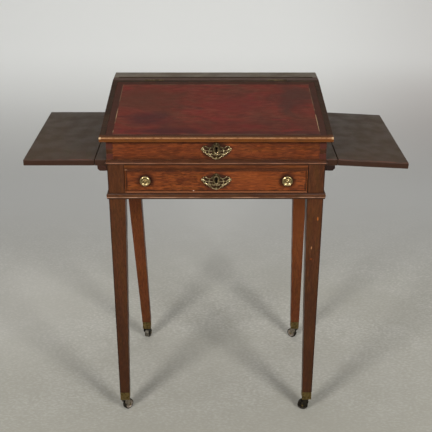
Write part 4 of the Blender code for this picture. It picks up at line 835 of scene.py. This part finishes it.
def ease(node, width, material, shortest):
    """A copy of a CAD node with its long or outer edges rounded, which stands for it."""
    bm = bmesh.new()
    bm.from_mesh(NODES[node].data)
    bmesh.ops.remove_doubles(bm, verts=bm.verts, dist=MERGE)
    bmesh.ops.dissolve_limit(bm, angle_limit=FLAT_ANGLE, verts=bm.verts, edges=bm.edges)
    levels = [(axis, corner[axis]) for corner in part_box(node) for axis in range(3)]

    def outer(edge):
        return any(all(abs(vert.co[axis] - level) < ON_FACE for vert in edge.verts) for axis, level in levels)

    edges = [
        edge for edge in bm.edges
        if len(edge.link_faces) == 2 and edge.is_convex and edge.calc_face_angle() > SHARP_ANGLE
        and (edge.calc_length() > shortest or outer(edge))
    ]
    bmesh.ops.bevel(
        bm, geom=edges, offset=width, offset_type="OFFSET", segments=EASING_STEPS, profile=0.5,
        affect="EDGES", clamp_overlap=True,
    )
    piece = stand_in(node + "_eased", node, bm, [material], False)
    piece.modifiers.new("even_normals", "WEIGHTED_NORMAL").keep_sharp = True


def dress_wood():
    """The frame, the box, the leaves, the lid and the drawer in their woods."""
    for nodes, width, material, shortest in EASED:
        for node in nodes.split():
            ease(node, width, material, shortest)
    dress("drawer_cockbead", COCKBEAD_WOOD)
    dress("waist_moulding", MOULDING_WOOD)


def dress_metal():
    """Brass and iron fittings."""
    for node in NODES:
        if node.startswith(("lid_link", "castor_cup")) or node.endswith("lock_case"):
            dress(node, DULL_BRASS)
        elif node.startswith("lid_hinge"):
            dress(node, DARK_BRASS)
        elif node.endswith("lock_bolt"):
            dress(node, IRON)
    for corner in CORNERS:
        dress("castor_horn_" + corner, CASTOR_LOOKS[corner][0])


def make_bead():
    """The base bead with a small square fillet under it."""
    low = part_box("base_bead")[0]
    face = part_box("box_front")[0]
    bm = bmesh.new()
    bm.from_mesh(NODES["base_bead"].data)
    for vert in bm.verts:
        if vert.co.z < low.z + ON_FACE:
            vert.co.z -= BEAD_DROP
            if abs(vert.co.x) > -face.x + BEAD_PROUD:
                vert.co.x += math.copysign(BEAD_FILLET, vert.co.x)
            if vert.co.y < face.y - BEAD_PROUD:
                vert.co.y -= BEAD_FILLET
    stand_in("base_bead_filleted", "base_bead", bm, [BEAD_WOOD], False)


def bridge(bm, near, far, material=0):
    """Faces between two closed rings, one of which may be a single point."""
    for i in range(max(len(near), len(far))):
        k = i + 1
        corners = [near[i % len(near)], near[k % len(near)], far[k % len(far)], far[i % len(far)]]
        bm.faces.new(dict.fromkeys(corners)).material_index = material


def lathe(bm, profile, matrix, endless=False, pale=(), steps=TURN_STEPS):
    """A turned body from (radius, height) pairs, round the matrix's Z axis, with pale bands by number."""
    rings = []
    for radius, height in profile:
        flat = circle(steps, radius) if radius else [(0, 0)]
        rings.append([bm.verts.new(matrix @ Vector((x, y, height))) for x, y in flat])
    if endless:
        rings.append(rings[0])
    for index, (near, far) in enumerate(zip(rings, rings[1:])):
        bridge(bm, near, far, index in pale)


def spline(points, closed):
    """A smooth curve through flat points."""
    count = len(points)
    curve = []
    for i in range(count if closed else count - 1):
        spots = [(i + k) % count if closed else min(max(i + k, 0), count - 1) for k in (-1, 0, 1, 2)]
        before, a, b, after = (Vector(points[k]) for k in spots)
        for k in range(SPLINE_STEPS):
            t = k / SPLINE_STEPS
            bend = 2 * before - 5 * a + 4 * b - after
            curl = 3 * a - before - 3 * b + after
            curve.append(a + 0.5 * (t * (b - before) + t * t * bend + t * t * t * curl))
    if not closed:
        curve.append(Vector(points[-1]))
    return curve


def spaced(path, step):
    """Points at even steps along a closed path."""
    points = []
    left = 0
    for i, point in enumerate(path):
        ahead = path[(i + 1) % len(path)] - point
        while left < ahead.length:
            points.append(point + ahead * (left / ahead.length))
            left += step
        left -= ahead.length
    return points


def add_rib(bm, path, radius, matrix, closed):
    """A round rib along a flat path, half sunk in the plate under it and thinner at open ends."""
    count = len(path)
    rings = []
    for i, point in enumerate(path):
        before = path[i - 1] if closed or i else point
        after = path[(i + 1) % count] if closed or i < count - 1 else point
        ahead = (after - before).normalized()
        across = Vector((-ahead.y, ahead.x))
        share = 1 if closed else RIB_TIP + (1 - RIB_TIP) * math.sin(math.pi * (i + 0.5) / count)
        section = [(point + across * aside, up) for aside, up in circle(RIB_SIDES, radius * share)]
        rings.append([bm.verts.new(matrix @ Vector((*flat, up))) for flat, up in section])
    for i in range(count if closed else count - 1):
        bridge(bm, rings[i], rings[(i + 1) % count])
    if not closed:
        bm.faces.new(rings[0])
        bm.faces.new(rings[-1])


def add_dome(bm, matrix, radius, rise, steps=TURN_STEPS):
    """A low round head, such as a pin's or a bead's."""
    turns = [QUARTER * i / DOME_STEPS for i in range(DOME_STEPS)]
    profile = [(radius * math.cos(turn), rise * math.sin(turn)) for turn in turns]
    lathe(bm, [(0, -rise / 2), (radius, -rise / 2), *profile, (0, rise)], matrix, steps=steps)


def add_screw(bm, matrix, radius):
    """A slotted screw head, a little proud of its plate."""
    start = math.asin(SCREW_SLOT)
    for side in (1, -1):
        loops = []
        for share, height in ((1, -SCREW_RISE), (1, 0), (0.9, SCREW_RISE)):
            loop = []
            for i in range(SCREW_STEPS + 1):
                turn = start + (math.pi - 2 * start) * i / SCREW_STEPS
                y = side * radius * max(share * math.sin(turn), SCREW_SLOT)
                loop.append(bm.verts.new(matrix @ Vector((share * radius * math.cos(turn), y, height))))
            loops.append(loop)
        for near, far in zip(loops, loops[1:]):
            bridge(bm, near, far)
        bm.faces.new(loops[0])
        bm.faces.new(loops[-1])


def add_plate(bm, loops, thickness, matrix):
    """A flat plate with holes: the first loop is its outline, and its face is at the matrix's Z = 0."""
    edges, verts = [], []
    for loop in loops:
        ring = [bm.verts.new((*point, 0)) for point in loop]
        edges += [bm.edges.new((ring[i - 1], ring[i])) for i in range(len(ring))]
        verts += ring
    made = bmesh.ops.triangle_fill(bm, edges=edges, use_beauty=True, use_dissolve=False)["geom"]
    faces = [item for item in made if isinstance(item, bmesh.types.BMFace)]
    sunk = bmesh.ops.extrude_face_region(bm, geom=faces, use_keep_orig=True)["geom"]
    for vert in (item for item in sunk if isinstance(item, bmesh.types.BMVert)):
        vert.co.z -= thickness
        verts.append(vert)
    bmesh.ops.transform(bm, matrix=matrix, verts=verts)


def keyhole_path():
    """A keyhole's outline about the escutcheon's middle: a round eye over a slot."""
    radius, rise = KEYHOLE_EYE
    half, drop = KEYHOLE_SLOT[0] / 2, KEYHOLE_SLOT[1]
    start = math.asin(half / radius)
    path = []
    for i in range(KEYHOLE_STEPS + 1):
        turn = -QUARTER + start + (2 * math.pi - 2 * start) * i / KEYHOLE_STEPS
        path.append(Vector((radius * math.cos(turn), rise + radius * math.sin(turn))))
    return path + [Vector((-half, rise - drop)), Vector((half, rise - drop))]


def make_escutcheon(node):
    """A pierced brass plate with pearls, raised scrolls, a ring round its keyhole and small bosses."""
    middle, half = middle_and_half(node)
    face = moved(middle.x, middle.y - half.y, middle.z) @ turned(QUARTER, "X")
    raised = face @ moved(0, 0, RIB_RISE)

    def sized(points, shares=(1, 1)):
        return [(x * shares[0] * half.x, z * shares[1] * half.z) for x, z in points]

    bm = bmesh.new()
    outline = list(CREST) + mirrored(CREST[1:-1])
    holes = [hole for half_hole in PIERCINGS for hole in (half_hole, mirrored(half_hole))]
    loops = [spline(sized(loop), True) for loop in [outline, *holes]]
    add_plate(bm, [*loops, keyhole_path()], PLATE_THICKNESS, face)
    plate_faces = set(bm.faces)
    for spot in spaced(spline(sized(outline, PEARL_INSET), True), PEARL_STEP):
        if spot.y < PEARL_TOP * half.z:
            add_dome(bm, face @ moved(spot.x, spot.y, 0), *PEARL, BEAD_STEPS)
    for scroll in SCROLLS:
        for points in (scroll, mirrored(scroll)):
            add_rib(bm, spline(sized(points), False), RIB_RADIUS, raised, False)
    centre, tall, wide = CARTOUCHE
    ring = [Vector((wide * x * half.x, (centre + tall * z) * half.z)) for x, z in circle(CARTOUCHE_STEPS)]
    add_rib(bm, ring, CARTOUCHE_RIB, raised, True)
    for x, z, size in BOSSES:
        for side in ((1, -1) if x else (1,)):
            boss = face @ moved(side * x * half.x, z * half.z, 0)
            add_dome(bm, boss, size * half.z, BOSS_RISE, BEAD_STEPS)
    for raised_face in set(bm.faces) - plate_faces:
        raised_face.material_index = 1
    stand_in(node + "_cast", node, bm, [CAST_BRASS, RUBBED_BRASS])


def make_knob(node):
    """A turned knob with a raised rim and a button in its dished face."""
    middle, half = middle_and_half(node)
    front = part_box("drawer_front")[0].y
    reach = front - (middle.y - half.y)
    bm = bmesh.new()
    profile = [(r * half.x, h * reach) for r, h in KNOB_PROFILE]
    lathe(bm, profile, moved(middle.x, front, middle.z) @ turned(QUARTER, "X"))
    stand_in(node + "_turned", node, bm, [KNOB_BRASS])


def make_wheel(corner):
    """A castor wheel with a dished face on each side, and the rivet heads of its axle."""
    node, horn = "castor_wheel_" + corner, "castor_horn_" + corner
    centre, size = middle_and_half(node)
    axis = Vector(joint_of(corner + "_wheel")["axis"])
    place = moved(*centre) @ axis.to_track_quat("Z", "Y").to_matrix().to_4x4()
    half, cheek = (max((v.co - centre).dot(axis) for v in NODES[n].data.vertices) for n in (node, horn))
    side = [(r * size.z, h * half) for r, h in WHEEL_PROFILE]
    profile = side + [(r, -h) for r, h in reversed(side[:-1])]
    last = len(profile) - 1
    faces = {*range(WHEEL_FACE_RINGS), *range(last - WHEEL_FACE_RINGS, last)}
    bm = bmesh.new()
    lathe(bm, profile, place, True, faces)
    stand_in(node + "_turned", node, bm, CASTOR_LOOKS[corner][1:])

    bm = bmesh.new()
    for flip in (0, math.pi):
        add_dome(bm, place @ turned(flip, "X") @ moved(0, 0, cheek), *RIVET)
    add_piece("axle_rivets_" + corner, bm, [DULL_BRASS], body_of(horn))


def make_cup_pins(corner):
    """A pin through each face of a castor cup."""
    middle, half = middle_and_half("castor_cup_" + corner)
    bm = bmesh.new()
    for turns in range(4):
        turn = turned(turns * QUARTER, "Z") @ turned(QUARTER, "Y")
        add_dome(bm, moved(*middle) @ turn @ moved(0, 0, half.x), *CUP_PIN)
    add_piece("cup_pins_" + corner, bm, [DULL_BRASS], body_of("castor_cup_" + corner))


def make_leather():
    """The lid's leather: a thin sheet with rolled edges, a tooled line and a slight waviness."""
    slope = turned(LID_SLOPE, "X")
    flat = [slope.inverted() @ v.co for v in NODES["lid_leather"].data.vertices]
    low, high = (Vector([pick(v[i] for v in flat) for i in range(3)]) for pick in (min, max))
    columns, rows = LEATHER_GRID
    bm = bmesh.new()

    def sheet(level):
        grid = []
        for j in range(rows + 1):
            y = low.y + (high.y - low.y) * j / rows
            xs = (low.x + (high.x - low.x) * i / columns for i in range(columns + 1))
            grid.append([bm.verts.new(slope @ Vector((x, y, level(x, y)))) for x in xs])
        return grid

    def top(x, y):
        aside, ahead, behind = high.x - abs(x), y - low.y, high.y - y
        roll = max(0, 1 - min(aside, ahead, behind) / LEATHER_ROLL)
        inside = min(aside - GILT_FROM_SIDE, ahead - GILT_FROM_FRONT, behind - GILT_FROM_BACK)
        tooling = max(0, 1 - abs(inside) / TOOLING_WIDTH)
        wave = noise.noise(Vector((x, y, 0)) * LEATHER_WAVE_SCALE)
        return high.z - LEATHER_ROLL_DROP * roll ** 2 - TOOLING_DEPTH * tooling + LEATHER_WAVE * wave

    def rim(grid):
        right, left = [row[-1] for row in grid[1:-1]], [row[0] for row in grid[-2:0:-1]]
        return grid[0] + right + grid[-1][::-1] + left

    upper = sheet(top)
    lower = sheet(lambda x, y: low.z)
    for j in range(rows):
        for i in range(columns):
            for grid in (upper, lower):
                bm.faces.new((grid[j][i], grid[j][i + 1], grid[j + 1][i + 1], grid[j + 1][i]))
    bridge(bm, rim(upper), rim(lower))
    ob = stand_in("writing_leather", "lid_leather", bm, [LEATHER])


def hinge_frame(name, side, y, droop):
    """A leaf hinge's frame: X along the pin, Y out under the leaf and Z down, away from the wood."""
    axis_x, _, axis_z = joint_of(name + "_leaf_hinge")["pos_m"]
    out = Vector((side * math.cos(droop), 0, -math.sin(droop)))
    down = Vector((-side * math.sin(droop), 0, -math.cos(droop)))
    matrix = Matrix((out.cross(down), out, down)).transposed().to_4x4()
    matrix.translation = Vector((axis_x, y, axis_z))
    return matrix


def make_leaf_hinges(name, side, droop):
    """Brass plates under a leaf at its two hinges, their knuckles and screws."""
    low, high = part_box("leaf_strip_" + name)
    places = (low.y + LEAF_HINGE_INSET, high.y - LEAF_HINGE_INSET)
    half = LEAF_HINGE_LENGTH / 2
    near = LEAF_KNUCKLE_RADIUS + KNUCKLE_CLEARANCE
    inner = LEAF_HINGE_LENGTH / 6 - KNUCKLE_CLEARANCE / 2
    outer = LEAF_HINGE_LENGTH / 6 + KNUCKLE_CLEARANCE / 2

    def barrel(start, end, bore):
        return [(bore, start), (LEAF_KNUCKLE_RADIUS, start), (LEAF_KNUCKLE_RADIUS, end), (bore, end)]

    bm = bmesh.new()
    for y in places:
        matrix = hinge_frame(name, side, y, droop)
        corners = ((-half, near), (half, near), (half, LEAF_FLAP_WIDTH), (-half, LEAF_FLAP_WIDTH))
        face = matrix @ moved(0, 0, LEAF_FLAP_PROUD)
        add_plate(bm, [corners], LEAF_FLAP_PROUD, face)
        for share, out in LEAF_SCREW_PLACES:
            add_screw(bm, face @ moved(share * half, out, 0), LEAF_SCREW)
        lathe(bm, barrel(-inner, inner, LEAF_KNUCKLE_BORE), matrix @ turned(QUARTER, "Y"), True)
    add_piece("leaf_hinges_moving_" + name, bm, [DULL_BRASS], name + "_leaf")

    bm = bmesh.new()
    for y in places:
        for start, end in ((-half, -outer), (outer, half)):
            lathe(bm, barrel(start, end, 0), hinge_frame(name, side, y, 0) @ turned(QUARTER, "Y"))
    add_piece("leaf_hinges_fixed_" + name, bm, [DULL_BRASS], "carcase")


def make_screws(name, body, radius, places):
    """A set of iron screws, which is one piece."""
    bm = bmesh.new()
    for place in places:
        add_screw(bm, place, radius)
    add_piece(name, bm, [IRON], body)


def make_lock_screws(node):
    """Four screws in the back of a lock case."""
    low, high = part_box(node)
    xs = (low.x + LOCK_SCREW_INSET, high.x - LOCK_SCREW_INSET)
    zs = (low.z + LOCK_SCREW_INSET, high.z - LOCK_SCREW_INSET)
    places = [moved(x, high.y, z) @ turned(-QUARTER, "X") for x in xs for z in zs]
    make_screws(node + "_screws", body_of(node), LOCK_SCREW, places)


def make_lid_screws():
    """Screws in the flaps of the lid's hinges, and two in the link plate under the lid."""
    plate = NODES["lid_link_plate"].data.vertices
    slope = turned(LID_SLOPE, "X")
    reach = max(v.co.x for v in plate)
    ends = [slope.inverted() @ v.co for v in plate if v.co.x > reach - ON_FACE]
    middle = sum(v.y for v in ends) / len(ends)
    under = min(v.z for v in ends)
    places = [slope @ moved(share * reach, middle, under) for share in LINK_SCREW_SHARES]
    make_screws("lid_link_plate_screws", "lid", LINK_SCREW, [p @ turned(math.pi, "X") for p in places])
    for half, body, pick, turn in (("moving", "lid", max, -QUARTER), ("fixed", "carcase", min, QUARTER)):
        places = []
        for name in SIDES:
            node = f"lid_hinge_{half}_{name}"
            low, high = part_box(node)
            face = pick(v.co.y for v in NODES[node].data.vertices if v.co.z < low.z + ON_FACE)
            for share in LID_HINGE_SCREW_SHARES:
                spot = moved(low.x + share * (high.x - low.x), face, low.z + LID_HINGE_SCREW_HEIGHT)
                places.append(spot @ turned(turn, "X"))
        make_screws("lid_hinge_screws_" + half, body, LID_HINGE_SCREW, places)


def studio_paper():
    """Grey paper with a fine grain; painted light makes it paler towards the back and up the sweep, with a
    painted glow there, painted shade darkens it near the front and at its right, and a painted patch of light
    lies at its left.
    """
    s = Surface("studio_paper")
    weave = s.noise((110, 190, 110), 4)
    rise = s.ramp(s.height, *SWEEP_PAINTED_LIGHT_SPAN)
    s.colour = s.mix(s.ramp(s.noise(14, 5), 0.3, 0.7), (172, 169, 159), (180, 177, 168))
    s.tint((150, 148, 137), weave, 0.34, 0.66, 0.45, 0)
    s.tint((200, 198, 188), weave, 0.5, 0.72, 0, 0.45)
    s.tint((164, 161, 150), s.noise((2.2, 3.4, 2.2), 5, 0.6), 0.36, 0.6, 0.5, 0)
    # Painted light: paler towards the back of the floor.
    s.tint((203, 202, 197), s.run, *FLOOR_PAINTED_LIGHT_SPAN)
    # Painted light: paler up the sweep.
    s.tint((232, 232, 228), rise)
    # Painted shade near the front of the floor.
    s.tint((152, 149, 137), s.run, -0.4, 0.1, 0.75, 0)
    # A painted patch of light on the floor at the left.
    painted_light_pool = s.times(s.ramp(s.across, -0.65, -0.2, 0.3, 0), s.band(s.run, 0.4, 0.1, 0.45))
    s.tint((204, 201, 193), painted_light_pool)
    # Painted shade on the back of the paper at its right.
    s.tint((178, 168, 163), s.times(s.ramp(s.across, 0.35, 1.5), s.ramp(s.run, 1.2, 1.9, 0, 0.34)))
    # A band of painted shade low on the sweep at its right.
    painted_shade_band = s.band(s.height, 0.17, 0.03, 0.18, 0.3)
    s.tint((168, 156, 150), s.times(painted_shade_band, s.ramp(s.across, 0.35, 1.2)))
    # A painted glow on the sweep, which only the camera and reflections see.
    path = s.node("LightPath").outputs
    seen = s.plus(path["Is Camera Ray"], path["Is Glossy Ray"], path["Is Transmission Ray"])
    glow = s.times(rise, SWEEP_GLOW, seen)
    s.set(base_color=s.colour, roughness=0.9, specular_ior_level=0.2)
    s.set(emission_color=(240, 240, 236), emission_strength=glow)
    return s.material


def make_studio():
    """A pale floor that sweeps up to a wall made lighter by painted light, two soft lamps in front and a
    large one above.
    """
    profile = [(FLOOR_FRONT, 0), (SWEEP_START, 0)]
    for i in range(1, SWEEP_STEPS + 1):
        turn = QUARTER * i / SWEEP_STEPS
        profile.append((SWEEP_START + SWEEP_RADIUS * math.sin(turn), SWEEP_RADIUS * (1 - math.cos(turn))))
    bm = bmesh.new()
    rows = [[bm.verts.new((x, y, z)) for x in (-FLOOR_HALF, FLOOR_HALF)] for y, z in profile]
    for near, far in zip(rows, rows[1:]):
        bm.faces.new((near[0], near[1], far[1], far[0]))
    mesh = bpy.data.meshes.new("studio_floor")
    bm.to_mesh(mesh)
    bm.free()
    mesh.shade_smooth()
    mesh.materials.append(studio_paper())
    add_object("studio_floor", mesh)

    for i, (place, size, power) in enumerate(LAMPS):
        light = bpy.data.lights.new(f"lamp_{i}", "AREA")
        light.size = size
        light.energy = power
        lamp = add_object(f"lamp_{i}", light)
        lamp.location = place
        lamp.rotation_euler = (LIGHT_TARGET - Vector(place)).to_track_quat("-Z", "Y").to_euler()

    world = bpy.data.worlds.new("studio_world")
    world.use_nodes = True
    sky = world.node_tree.nodes["Background"].inputs
    sky["Color"].default_value = tone(236, 238, 242)
    sky["Strength"].default_value = WORLD_STRENGTH
    bpy.context.scene.world = world


def make_camera():
    """The camera of the photograph."""
    lens = bpy.data.cameras.new("camera")
    lens.sensor_width = SENSOR
    lens.sensor_fit = "HORIZONTAL"
    lens.lens = FOCAL_PIXELS / PHOTO_SIDE * SENSOR
    camera = add_object("camera", lens)
    turn = turned(-CAMERA_YAW, "Z") @ turned(QUARTER - CAMERA_PITCH, "X") @ turned(CAMERA_ROLL, "Z")
    camera.matrix_world = moved(*CAMERA_PLACE) @ turn
    bpy.context.scene.camera = camera


dress_wood()
make_bead()
dress_metal()
make_leather()
for node in ("escutcheon_upper", "escutcheon_lower"):
    make_escutcheon(node)
for name in SIDES:
    make_knob("knob_" + name)
for corner in CORNERS:
    make_wheel(corner)
    make_cup_pins(corner)
make_leaf_hinges("left", -1, 0)
make_leaf_hinges("right", 1, RIGHT_LEAF_DROOP)
for node in ("lid_lock_case", "drawer_lock_case"):
    make_lock_screws(node)
make_lid_screws()
make_studio()
make_camera()
bpy.context.scene.view_settings.view_transform = "Standard"
